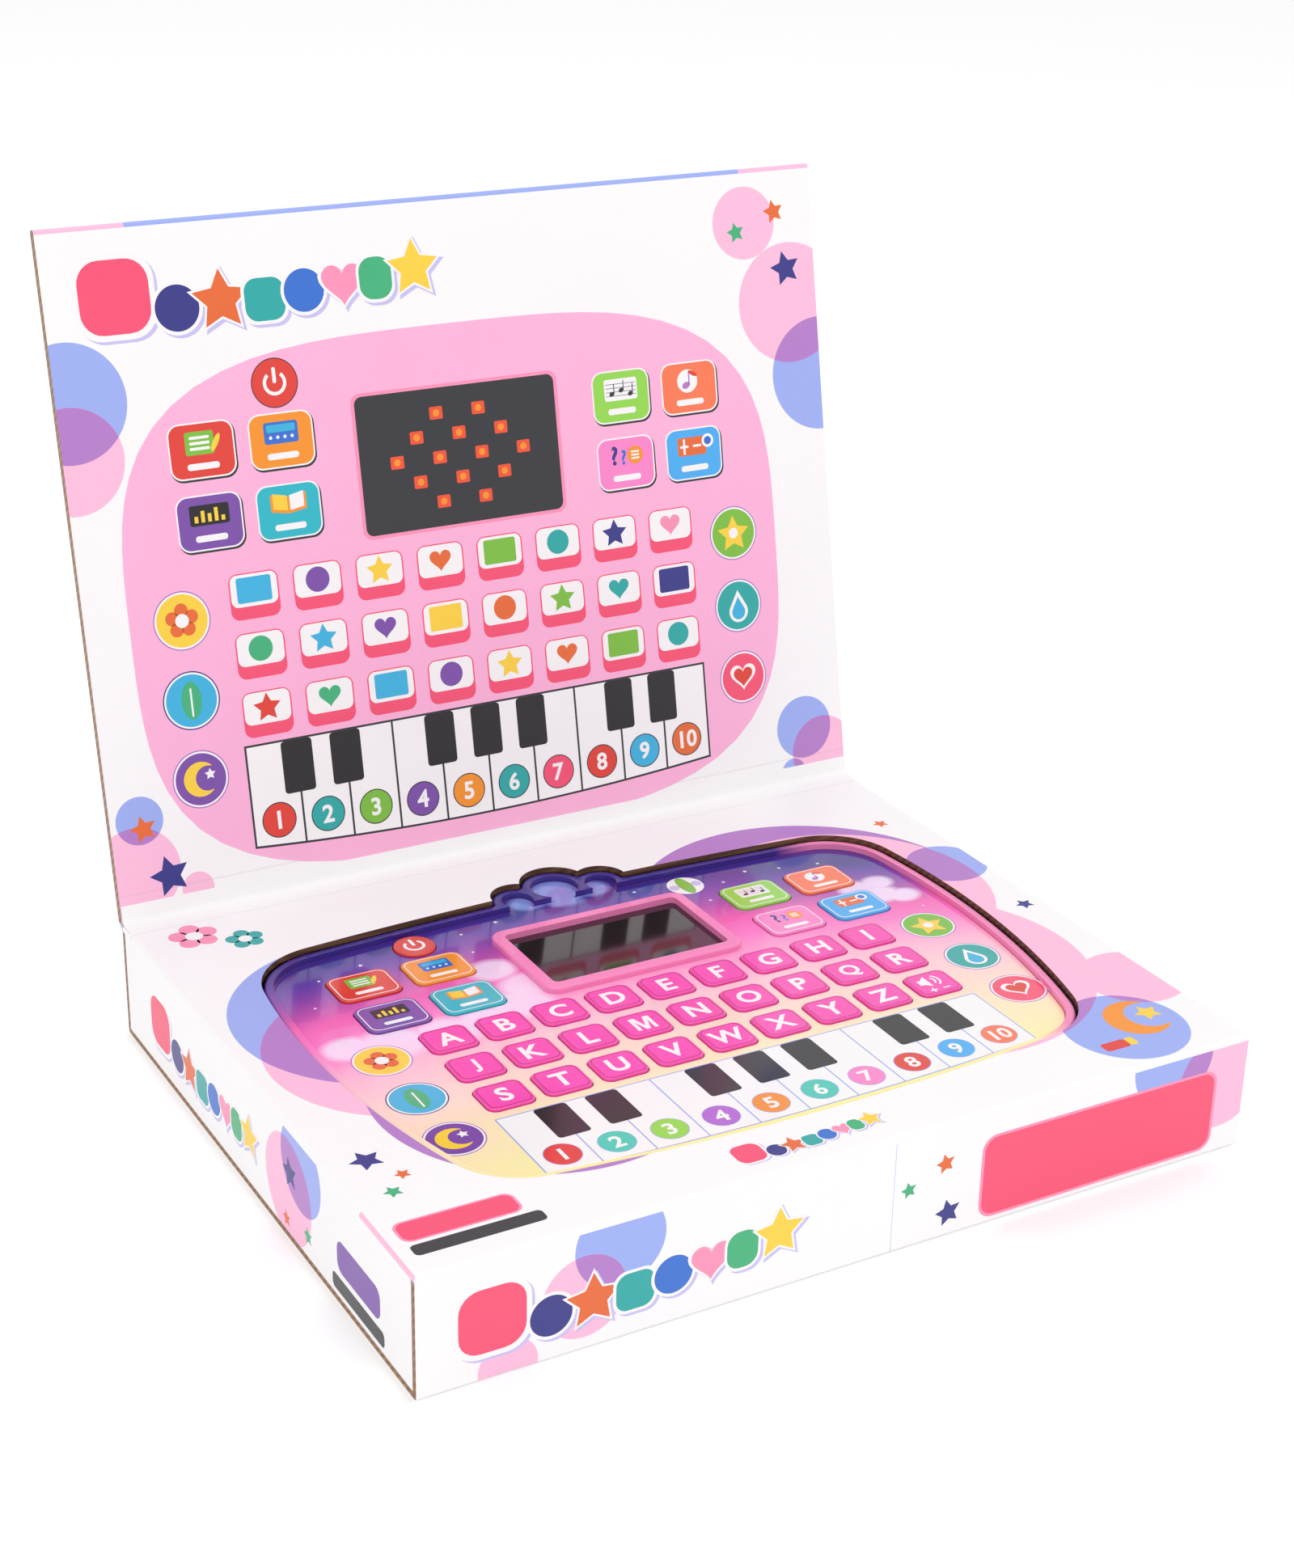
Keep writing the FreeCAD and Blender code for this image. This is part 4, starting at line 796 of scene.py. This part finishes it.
def shell_finish(hue):
    """Moulded pink shell; its rim is painted in the face's colours instead of its own pink, except along the right
    side, so that it merges with the film; towards the rear that paint is dark indigo, painted shade under the
    panel's edge.
    """
    material, wire = surface("moulded_shell", Coat_Weight=0.35, Coat_Roughness=0.08)
    vector, (x, y, z) = wire.place()
    cloudy = wire.noise(vector, 90.0, 3.0)
    fine = wire.noise(vector, 1800.0, 2.0)
    plain = wire.mix(cloudy, dimmed(hue, 0.92), hue)
    printed = dusk(wire, x, y - COMPUTER_Y, cloudy)
    rim_foot = FILM_TOP - 0.3
    plain_from, fade = 96.0, 14.0
    # painted shade at the rear: the rim takes the face's colours instead of its pink, dark indigo towards the rear
    rim = ((z - rim_foot) * 4.0).held() * ((plain_from - x) / fade).held()
    return feed(
        material,
        Base_Color=wire.mix(rim, plain, printed),
        Roughness=0.24 + cloudy * 0.12,
        Normal=wire.bump(fine, 0.06, 0.0002),
    )


def flute_tree(material):
    """Geometry nodes: one wave of the inner paper, repeated along a cut edge."""
    tree = bpy.data.node_groups.new("fluted_edge", "GeometryNodeTree")
    sockets = (("Wave", "Geometry"), ("Count", "Int"), ("Pitch", "Vector"), ("Edge", "Geometry"))
    for label, kind in sockets:
        way = "OUTPUT" if label == "Edge" else "INPUT"
        tree.interface.new_socket(label, in_out=way, socket_type="NodeSocket" + kind)
    entry, leave = (tree.nodes.new("NodeGroup" + way) for way in ("Input", "Output"))
    steps = ("MeshLine", "InstanceOnPoints", "RealizeInstances", "SetMaterial")
    line, place, real, paint = (tree.nodes.new("GeometryNode" + step) for step in steps)
    paint.inputs["Material"].default_value = material
    joins = (
        (entry, "Count", line, "Count"),
        (entry, "Pitch", line, "Offset"),
        (line, "Mesh", place, "Points"),
        (entry, "Wave", place, "Instance"),
        (place, "Instances", real, "Geometry"),
        (real, "Geometry", paint, "Geometry"),
        (paint, "Geometry", leave, "Edge"),
    )
    for start, output, end, given in joins:
        tree.links.new(start.outputs[output], end.inputs[given])
    return tree


def fluted_edge(name, tree, start, along, across, out, length, pitch):
    """A run of flutes on a cut edge of the carton's board."""
    start, along, across, out = (Vector(given) for given in (start, along, across, out))
    rings = []
    for i in range(FLUTE_STEPS + 1):
        run = pitch * i / FLUTE_STEPS
        rise = FLUTE_RISE * sin(tau * i / FLUTE_STEPS)
        spot = start + along * run + across * rise
        rings.append([(spot + across * side + out * height) * MM for side, height in FLUTE_SECTION])
    shape = bmesh.new()
    skin(shape, rings)
    source = add_object(name, closed_mesh(name, shape))
    modifier = source.modifiers.new("Flutes", "NODES")
    modifier.node_group = tree
    names = {item.name: item.identifier for item in tree.interface.items_tree if item.in_out == "INPUT"}
    modifier[names["Count"]] = int(length / pitch)
    modifier[names["Pitch"]] = tuple(along * pitch * MM)
    return new_piece(name, plain_mesh(source), "carton")


def key_border(sheet):
    """The darker line round a letter key's top."""
    sheet.ink("cherry", 1, tile(0, 0, 14.0, 12.7, 2.5))
    sheet.ink("lolly", 2, tile(0, 0, 13.2, 11.9, 2.2))


def key_sheet(name, slot):
    """A print on top of one key."""
    low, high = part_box(name)
    middle = ((low[0] + high[0]) / 2 / MM, (low[1] + high[1]) / 2 / MM, high[2] / MM)
    return Print(name + "_sign", name, middle, RIGHT, BACK, True, slot)


class CartonSettings(bpy.types.PropertyGroup):
    """Sizes of the carton's print and cut edges."""

    flute_pitch: bpy.props.FloatProperty(
        name="Flute pitch", description="Length of one wave in a cut edge, in millimetres", default=3.4
    )
    stripe_half: bpy.props.FloatProperty(
        name="Stripe half width", description="Half of the lid's blue band, in millimetres", default=111.5
    )


class ComputerSettings(bpy.types.PropertyGroup):
    """Colours and sizes of the computer's face."""

    key_colour: bpy.props.FloatVectorProperty(
        name="Key colour", description="Colour of the letter keys", subtype="COLOR", size=4, min=0.0,
        max=1.0, default=linear("F745AE"),
    )
    shell_colour: bpy.props.FloatVectorProperty(
        name="Shell colour", description="Colour of the moulded shells", subtype="COLOR", size=4, min=0.0,
        max=1.0, default=linear("FA8CC0"),
    )
    letter_height: bpy.props.FloatProperty(
        name="Letter height", description="Height of a key's letter, in millimetres", default=7.6
    )


class StageSettings(bpy.types.PropertyGroup):
    """Light and camera."""

    lens: bpy.props.FloatProperty(
        name="Lens", description="Focal length of the camera", default=60.868, unit="CAMERA"
    )
    sky: bpy.props.FloatProperty(name="Sky", description="Strength of the white surroundings", default=0.83)
    floor_glow: bpy.props.FloatProperty(
        name="Floor glow", description="Light that the pale floor gives off by itself", default=0.16
    )
    key_power: bpy.props.FloatProperty(
        name="Key light", description="Power of the main soft light", default=6.5, unit="POWER"
    )


class TOYLAPTOP_OT_carton(bpy.types.Operator):
    """Finish and print of the carton's boards"""

    bl_idname = "toylaptop.carton"
    bl_label = "Carton"

    def execute(self, context):
        panel = {"top": TOP_CIRCLES, "left": PANEL_SIDE_CIRCLES}
        dress(board("printed_panel", panel, ("cut",), score=PANEL_SCORE), "window_panel")
        dress(board("printed_sleeve", {"front": FRONT_CIRCLES}, ("ends",)), "carton_sleeve")
        ends = {"left": END_CIRCLES, "right": END_CIRCLES}
        dress(board("printed_end", ends, ("under",)), "left_end_closure", "right_end_closure")
        kraft = moulded("plain_board", tint("kraft"), rough=0.8, coat=0.0, grain=0.12, scale=300.0, bump=0.4)
        dress(kraft, "toy_fitment")
        self.top_print()
        self.front_print()
        self.end_print("left_print", -1)
        self.end_print("right_print", 1)
        self.flutes(flute_tree(kraft), context.scene.toylaptop_carton.flute_pitch)
        return {"FINISHED"}

    def top_print(self):
        sheet = Print("panel_print", "carton", (0, 0, PANEL_TOP), RIGHT, BACK)
        for x, y, hue, size in ((-122, 95, "blush", 8.0), (-108, 86, "teal", 6.2)):
            sheet.ink(hue, 1, *petals(x, y, 0.62 * size, 0.42 * size, 24))
            sheet.ink("white", 2, disc(x, y, 0.36 * size, 24))
        sheet.ink("amber", 1, crescent(116, -88, 10.5))
        sheet.ink("yellow", 2, star(121, -87, 4.6, 0.2))
        sheet.ink("red", 1, tile(99, -99, 9, 4.6, 1.2))
        sheet.ink("yellow", 2, tile(105, -99, 3, 4.6, 1.2))
        sheet.stars(1, PANEL_STARS, 0.25)
        sheet.ink("blush", 1, tile(-118, -92.5, 36, 10.0, 3.2))
        sheet.ink("magenta", 2, tile(-118, -92.5, 34.4, 8.6, 2.6))
        sheet.ink("charcoal", 1, tile(-116, -101.6, 39, 5.2, 1.6))
        shape_row(sheet.at(-14, -101.5, 0.42))
        sheet.make()

    def front_print(self):
        sheet = Print("front_print", "carton", (0, -HALF_DEPTH, 0), RIGHT, UP)
        shape_row(sheet.at(-78, 17, 0.92))
        sheet.at(0, 0).stars(1, FRONT_STARS)
        sheet.ink("blush", 2, tile(85, 16, 88, 28, 5))
        sheet.ink("magenta", 3, tile(85, 16, 86, 26.2, 4.3))
        sheet.ink("lilac", 1, bar(10.2, 18.5, 0.22, 36.0))
        sheet.make()

    def end_print(self, name, side):
        sheet = Print(name, "carton", (side * HALF_WIDTH, 0, 0), (0, side, 0), UP)
        shape_row(sheet.at(-46, 17, 0.78))
        sheet.at(0, 0).stars(1, END_STARS)
        sheet.ink("plum", 1, tile(75.6, 16, 29, 10.4, 3.4))
        sheet.ink("charcoal", 1, tile(75, 6.2, 35, 5.0, 1.6))
        sheet.make()

    def flutes(self, tree, pitch):
        """Flutes on the ends of the sleeve's walls and floor."""
        middle = BOARD / 2
        for side, word in ((-1, "left"), (1, "right")):
            out = (side, 0, 0)
            for depth, wall in ((-1, "front"), (1, "rear")):
                start = (side * HALF_WIDTH, depth * (HALF_DEPTH - middle), 1.8)
                fluted_edge(f"{word}_{wall}_flutes", tree, start, UP, BACK, out, 34.5, pitch)
            start = (side * HALF_WIDTH, 2.4 - HALF_DEPTH, middle)
            fluted_edge(f"{word}_floor_flutes", tree, start, BACK, UP, out, 220.0, pitch)


class TOYLAPTOP_OT_lid(bpy.types.Operator):
    """Finish and picture of the lid"""

    bl_idname = "toylaptop.lid"
    bl_label = "Lid"

    def execute(self, context):
        stripe = context.scene.toylaptop_carton.stripe_half
        inner = board("printed_lid", {"inner": LID_CIRCLES}, ("ends",), stripe, LID_SCORE)
        dress(inner, "lid_inner_board")
        dress(board("printed_lid_back", {}, ("ends",), stripe), "lid_outer_board")
        sheet = Print("lid_print", "lid", LID_FOOT, RIGHT, LID_UP)
        shape_row(sheet.at(-72, 197, 1.05))
        sheet.at(0, 0).stars(2, LID_STARS)
        self.field(sheet)
        self.buttons(sheet)
        self.screen(sheet)
        self.tiles(sheet)
        for x, y, hue, motif in ROUND_PICTURES:
            spot = sheet.at(PICTURE_X + copysign(103.5, x), 88.0 + y * 1.05, 1.04, 2)
            round_picture(spot, hue, motif)
        piano(sheet.at(PICTURE_X, 91.0, 1.035, 2), "charcoal", BOARD_DISCS, 0.7)
        sheet.make()
        return {"FINISHED"}

    def field(self, sheet):
        """Pink field with the computer's outline, a rounded oval."""
        power = 3.4
        rim = []
        for c, s in disc(0, 0, 1, 80):
            flat = (abs(c) ** power + abs(s) ** power) ** (-1 / power)
            rim.append((-4.4 + 121 * flat * c, 92 + 88 * flat * s))
        sheet.ink("rose", 1, rim)

    def buttons(self, sheet):
        """Mode buttons and power button as flat pictures."""
        middle_x, middle_y, spread = -4.5, 93.5, 1.06
        for x, y, hue, motif in MODES.values():
            sheet.at(middle_x + x * spread, middle_y + y * spread, 1.035, 2)
            sheet.ink("charcoal", 0, tile(0.3, -0.5, 22.0, 17.8, 4.0))
            sheet.ink("white", 1, tile(0, 0, 21.6, 17.4, 3.8))
            sheet.ink(hue, 2, tile(0, 0, 20.6, 16.4, 3.4))
            mode_icon(sheet, motif)
        sheet.at(middle_x + POWER[0] * spread, middle_y + POWER[1] * spread, 1.12, 2)
        sheet.ink("charcoal", 0, disc(0, 0, 7.2))
        sheet.ink("red", 1, disc(0, 0, 6.9))
        power_sign(sheet, 2)

    def screen(self, sheet):
        """Dark screen with a plain pattern of lamps."""
        sheet.at(-4.2, 136.3, 1.0, 2)
        sheet.ink("blush", 0, tile(0, 0, 76, 48.4, 3.4))
        sheet.ink("charcoal", 1, tile(0, 0, 73.5, 46.1, 2.6))
        for column in range(-3, 4):
            for row in range(-2, 3):
                if abs(column) + abs(row) in (1, 3):
                    x, y = column * 7.8, row * 7.4
                    sheet.ink("lamp", 2, tile(x, y, 4.8, 4.2, 0.5))
                    sheet.ink("amber", 3, disc(x, y, 1.2, 12))

    def tiles(self, sheet):
        """Three rows of tiles with plain shapes."""
        forms = (tile(0, 2, 12, 8.4, 0.8), disc(0, 2, 4.2, 28), star(0, 1.8, 5.0), heart(0, 1.8, 4.2))
        for row in range(3):
            for column in range(8):
                sheet.at(PICTURE_X + (column - 3.5) * 22.3, 100 - row * 19.6, 1.0, 2)
                sheet.ink("magenta", 0, tile(0, 0, 17.2, 15.2, 3.0))
                sheet.ink("white", 1, tile(0, 1.9, 16.2, 10.6, 2.4))
                hue = TILE_HUES[(row * 8 + column * 3) % len(TILE_HUES)]
                sheet.ink(hue, 2, forms[(row + column) % len(forms)])


class TOYLAPTOP_OT_crease(bpy.types.Operator):
    """Folded paper that joins the lid to the carton, inside and outside"""

    bl_idname = "toylaptop.crease"
    bl_label = "Lid crease"

    def execute(self, context):
        paper = board("crease_paper", {}, ("ends",))
        lean = -LID_UP.cross(Vector(RIGHT))
        behind = LID_FOOT - lean * LID_THICK
        panel, wall = (
            [Vector((0, HALF_DEPTH + back, PANEL_TOP + up)) for back, up in spots]
            for spots in (CREASE_PANEL, CREASE_WALL)
        )
        inside = panel + [LID_FOOT + LID_UP * up + lean * off for up, off in CREASE_FRONT]
        outside = [behind + LID_UP * up - lean * off for up, off in CREASE_REAR] + wall
        for name, line, ends in (("inner_crease", inside, (1, 3)), ("outer_crease", outside, (4, 1))):
            strip = self.strip(name, line, paper)
            start, end = (tuple(line[i] * MM) for i in ends)
            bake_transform(strip)
        return {"FINISHED"}

    def strip(self, name, line, paper):
        """A smooth sheet along a line, across the carton."""
        half_thick = 0.06 * MM
        half = (HALF_WIDTH - 0.2) * MM
        side = Vector(RIGHT) * half
        path = self.smooth(name, line)
        rings = []
        for i, spot in enumerate(path):
            run = path[min(i + 1, len(path) - 1)] - path[max(i - 1, 0)]
            out = run.cross(side).normalized() * half_thick
            rings.append((spot + out - side, spot + out + side, spot - out + side, spot - out - side))
        shape = bmesh.new()
        skin(shape, rings)
        mesh = closed_mesh(name, shape)
        mesh.materials.append(paper)
        return add_object(name, mesh)

    def smooth(self, name, line):
        """Points of a smooth curve along a line, in metres."""
        curve = bpy.data.curves.new(name, "CURVE")
        curve.dimensions = "3D"
        spline = curve.splines.new("NURBS")
        spline.points.add(len(line) - 1)
        for point, spot in zip(spline.points, line):
            point.co = (*(spot * MM), 1.0)
        spline.order_u = 3
        spline.use_endpoint_u = True
        spline.resolution_u = 6
        return [v.co.copy() for v in plain_mesh(add_object(name, curve)).vertices]


class TOYLAPTOP_OT_face(bpy.types.Operator):
    """Film, printed piano and round pictures of the computer"""

    bl_idname = "toylaptop.face"
    bl_label = "Face film"

    def execute(self, context):
        dress(film_finish(), "face_film")
        sheet = Print("face_print", "computer", (0, COMPUTER_Y, FILM_TOP), RIGHT, BACK, True, "face_film")
        piano(sheet.at(0, 0, 1.0, 1), "periwinkle", FILM_DISCS, 0.45)
        for x, y, hue, motif in ROUND_PICTURES:
            round_picture(sheet.at(x, y, 1.0, 1), hue, motif)
        sheet.at(42, 69.5)
        sheet.ink("white", 1, disc(0, 0, 6.4))
        sheet.ink("lime", 2, oval(0, 0, 2.4, 6.2))
        sheet.ink("lilac", 2, disc(-4.2, 0, 1.8, 20), disc(4.2, 0, 1.8, 20))
        sheet.at(0, 0)
        for x, y, radius in SPARKS:
            sheet.ink("white", 1, star(x, y, radius, 0.0, 0.38))
        sheet.make()
        return {"FINISHED"}


# Plain finishes: colour, values of moulded() in its order from roughness on, nodes
PLAIN_FINISHES = {
    "screen_frame": ("FC8AC4", (0.26, 0.4), "screen_bezel"),
    "dark_window": ("1C0A12", (0.06, 0.6, 0.1, 40.0, 0.0), "screen_window"),
    "circuit_board": ("1E6B3A", (0.4, 0.2, 0.15, 220.0), "led_board", "main_board"),
    "lamp_red": ("C8302A", (0.2, 0.5), "led_lamps"),
    "grey_rubber": ("8C8C92", (0.75, 0.0, 0.1, 200.0, 0.3), "key_mat", "rubber_feet"),
    "black_part": ("1A1A1C", (0.5, 0.0), "board_components"),
    "pressed_steel": ("A9A9AD", (0.35, 0.0, 0.1, 300.0, 0.2, 1.0), "speaker_driver"),
    "speaker_paper": ("2A2A2D", (0.85, 0.0, 0.2, 500.0, 0.5), "speaker_cone"),
    "cell_jacket": ("26463A", (0.3,), "batteries"),
    "plated_steel": ("C9C9C4", (0.28, 0.0, 0.06, 260.0, 0.1, 1.0), "battery_contacts", "screws"),
}


class TOYLAPTOP_OT_shells(bpy.types.Operator):
    """Finish of the shells, screen and hidden pieces"""

    bl_idname = "toylaptop.shells"
    bl_label = "Shells and screen"

    def execute(self, context):
        shell = context.scene.toylaptop_computer.shell_colour
        dress(shell_finish(tuple(shell)), "top_shell", "bottom_shell", "battery_door")
        for name, (code, values, *nodes) in PLAIN_FINISHES.items():
            dress(moulded(name, linear(code), *values), *nodes)
        return {"FINISHED"}


class TOYLAPTOP_OT_keys(bpy.types.Operator):
    """Letter keys with their letters, and the volume key"""

    bl_idname = "toylaptop.keys"
    bl_label = "Letter keys"

    def execute(self, context):
        settings = context.scene.toylaptop_computer
        pink = moulded("key_pink", tuple(settings.key_colour), rough=0.24, coat=0.45)
        for row in LETTER_ROWS:
            for character in row:
                self.letter_key(pink, "key_" + character, character.upper(), settings.letter_height)
        self.volume_key(pink)
        return {"FINISHED"}

    def letter_key(self, pink, name, character, height):
        dress(pink, name)
        sheet = key_sheet(name, "key_pink")
        key_border(sheet)
        if character == "M":
            sheet.ink("white", 3, [(x * height, y * height) for x, y in LETTER_M])
        else:
            sheet.letter("white", 3, character, 0, 0, height)
        sheet.make()

    def volume_key(self, pink):
        """A key with a loudspeaker, two waves, a plus and a minus."""
        dress(pink, "key_volume")
        sheet = key_sheet("key_volume", "key_pink")
        key_border(sheet)
        horn = [(-4.6, -0.4), (-3.2, -0.4), (-1.0, -2.2), (-1.0, 4.6), (-3.2, 2.6), (-4.6, 2.6)]
        sheet.ink("white", 3, horn, *[band(-0.6, 1.1, radius, 0.7, -0.3, 0.3, 10) for radius in (2.0, 3.6)])
        sheet.ink("white", 3, bar(-2.4, -4.4, 2.6, 0.6), bar(2.4, -4.4, 2.6, 0.6))
        sheet.ink("white", 3, bar(-2.4, -3.6, 0.6, 1.0), bar(-2.4, -5.2, 0.6, 1.0))
        sheet.make()


class TOYLAPTOP_OT_modes(bpy.types.Operator):
    """Mode buttons and the power button with their signs"""

    bl_idname = "toylaptop.modes"
    bl_label = "Mode buttons"

    def execute(self, context):
        slots = {part["node"]: part["material_slot"] for part in frame["record"]["subparts"]}
        for name, (_, _, hue, motif) in MODES.items():
            dress(moulded(name, tint(hue), rough=0.22, coat=0.45), name)
            sheet = key_sheet(name, slots[name])
            sheet.ink("white", 1, tile(0, 0, 19.2, 15.0, 2.9))
            sheet.ink(hue, 2, tile(0, 0, 18.5, 14.3, 2.6))
            mode_icon(sheet.at(0, 0, 0.9), motif)
            sheet.make()
        dress(moulded("button_power", tint("red"), rough=0.22, coat=0.45), "button_power")
        sheet = key_sheet("button_power", slots["button_power"])
        power_sign(sheet, 1)
        sheet.make()
        return {"FINISHED"}


class TOYLAPTOP_OT_stage(bpy.types.Operator):
    """Pale floor, soft lights and the camera"""

    bl_idname = "toylaptop.stage"
    bl_label = "Stage"

    def execute(self, context):
        settings = context.scene.toylaptop_stage
        self.floor(context, settings.floor_glow)
        world = bpy.data.worlds.new("studio")
        context.scene.world = world
        world.use_nodes = True
        sky = world.node_tree.nodes["Background"]
        sky.inputs["Color"].default_value = (1.0, 1.0, 1.0, 1.0)
        sky.inputs["Strength"].default_value = settings.sky
        for name, (place, size, share) in LIGHTS.items():
            lamp = bpy.data.lights.new(name, "AREA")
            lamp.size = size
            lamp.energy = settings.key_power * share
            light = add_object(name, lamp)
            light.location = place
            light.rotation_euler = (-Vector(place)).to_track_quat("-Z", "Y").to_euler()
        data = bpy.data.cameras.new("camera")
        data.lens = settings.lens
        data.sensor_width = 36.0
        data.clip_end = 60.0
        camera = add_object("camera", data)
        turn = Matrix((CAMERA_RIGHT, CAMERA_UP, CAMERA_BACK)).transposed().to_4x4()
        camera.matrix_world = Matrix.Translation(CAMERA_PLACE) @ turn
        context.scene.camera = camera
        context.scene.view_settings.view_transform = "Standard"
        return {"FINISHED"}

    def floor(self, context, glow):
        """A pale floor just under the carton."""
        bpy.ops.mesh.primitive_plane_add(size=FLOOR_SIZE, location=(0.0, 0.0, FLOOR_LEVEL))
        floor = context.object
        floor.name = "floor"
        pale = dimmed((1.0, 1.0, 1.0), 0.94)
        paper = moulded("floor_paper", pale, rough=0.7, coat=0.0, grain=0.004, scale=3.0, bump=0.0)
        main_input(paper, "Emission_Color").default_value = (1.0, 1.0, 1.0, 1.0)
        main_input(paper, "Emission_Strength").default_value = glow
        floor.data.materials.append(paper)


class TOYLAPTOP_PT_panel(bpy.types.Panel):
    """Lists the steps that dress the toy laptop"""

    bl_idname = "TOYLAPTOP_PT_panel"
    bl_label = "Toy Laptop"
    bl_space_type = "VIEW_3D"
    bl_region_type = "UI"
    bl_category = "Toy Laptop"

    def draw(self, context):
        for step in STEPS:
            self.layout.operator(step.bl_idname)


GROUPS = (
    ("toylaptop_carton", CartonSettings),
    ("toylaptop_computer", ComputerSettings),
    ("toylaptop_stage", StageSettings),
)
STEPS = (
    TOYLAPTOP_OT_carton,
    TOYLAPTOP_OT_lid,
    TOYLAPTOP_OT_crease,
    TOYLAPTOP_OT_face,
    TOYLAPTOP_OT_shells,
    TOYLAPTOP_OT_keys,
    TOYLAPTOP_OT_modes,
    TOYLAPTOP_OT_stage,
)


def register():
    for name, group in GROUPS:
        bpy.utils.register_class(group)
        setattr(bpy.types.Scene, name, bpy.props.PointerProperty(type=group))
    for step in STEPS:
        bpy.utils.register_class(step)
    bpy.utils.register_class(TOYLAPTOP_PT_panel)


def unregister():
    bpy.utils.unregister_class(TOYLAPTOP_PT_panel)
    for step in reversed(STEPS):
        bpy.utils.unregister_class(step)
    for name, group in reversed(GROUPS):
        delattr(bpy.types.Scene, name)
        bpy.utils.unregister_class(group)


def main():
    register()
    for step in STEPS:
        getattr(bpy.ops.toylaptop, step.bl_idname.partition(".")[2])()


if __name__ == "__main__":
    main()
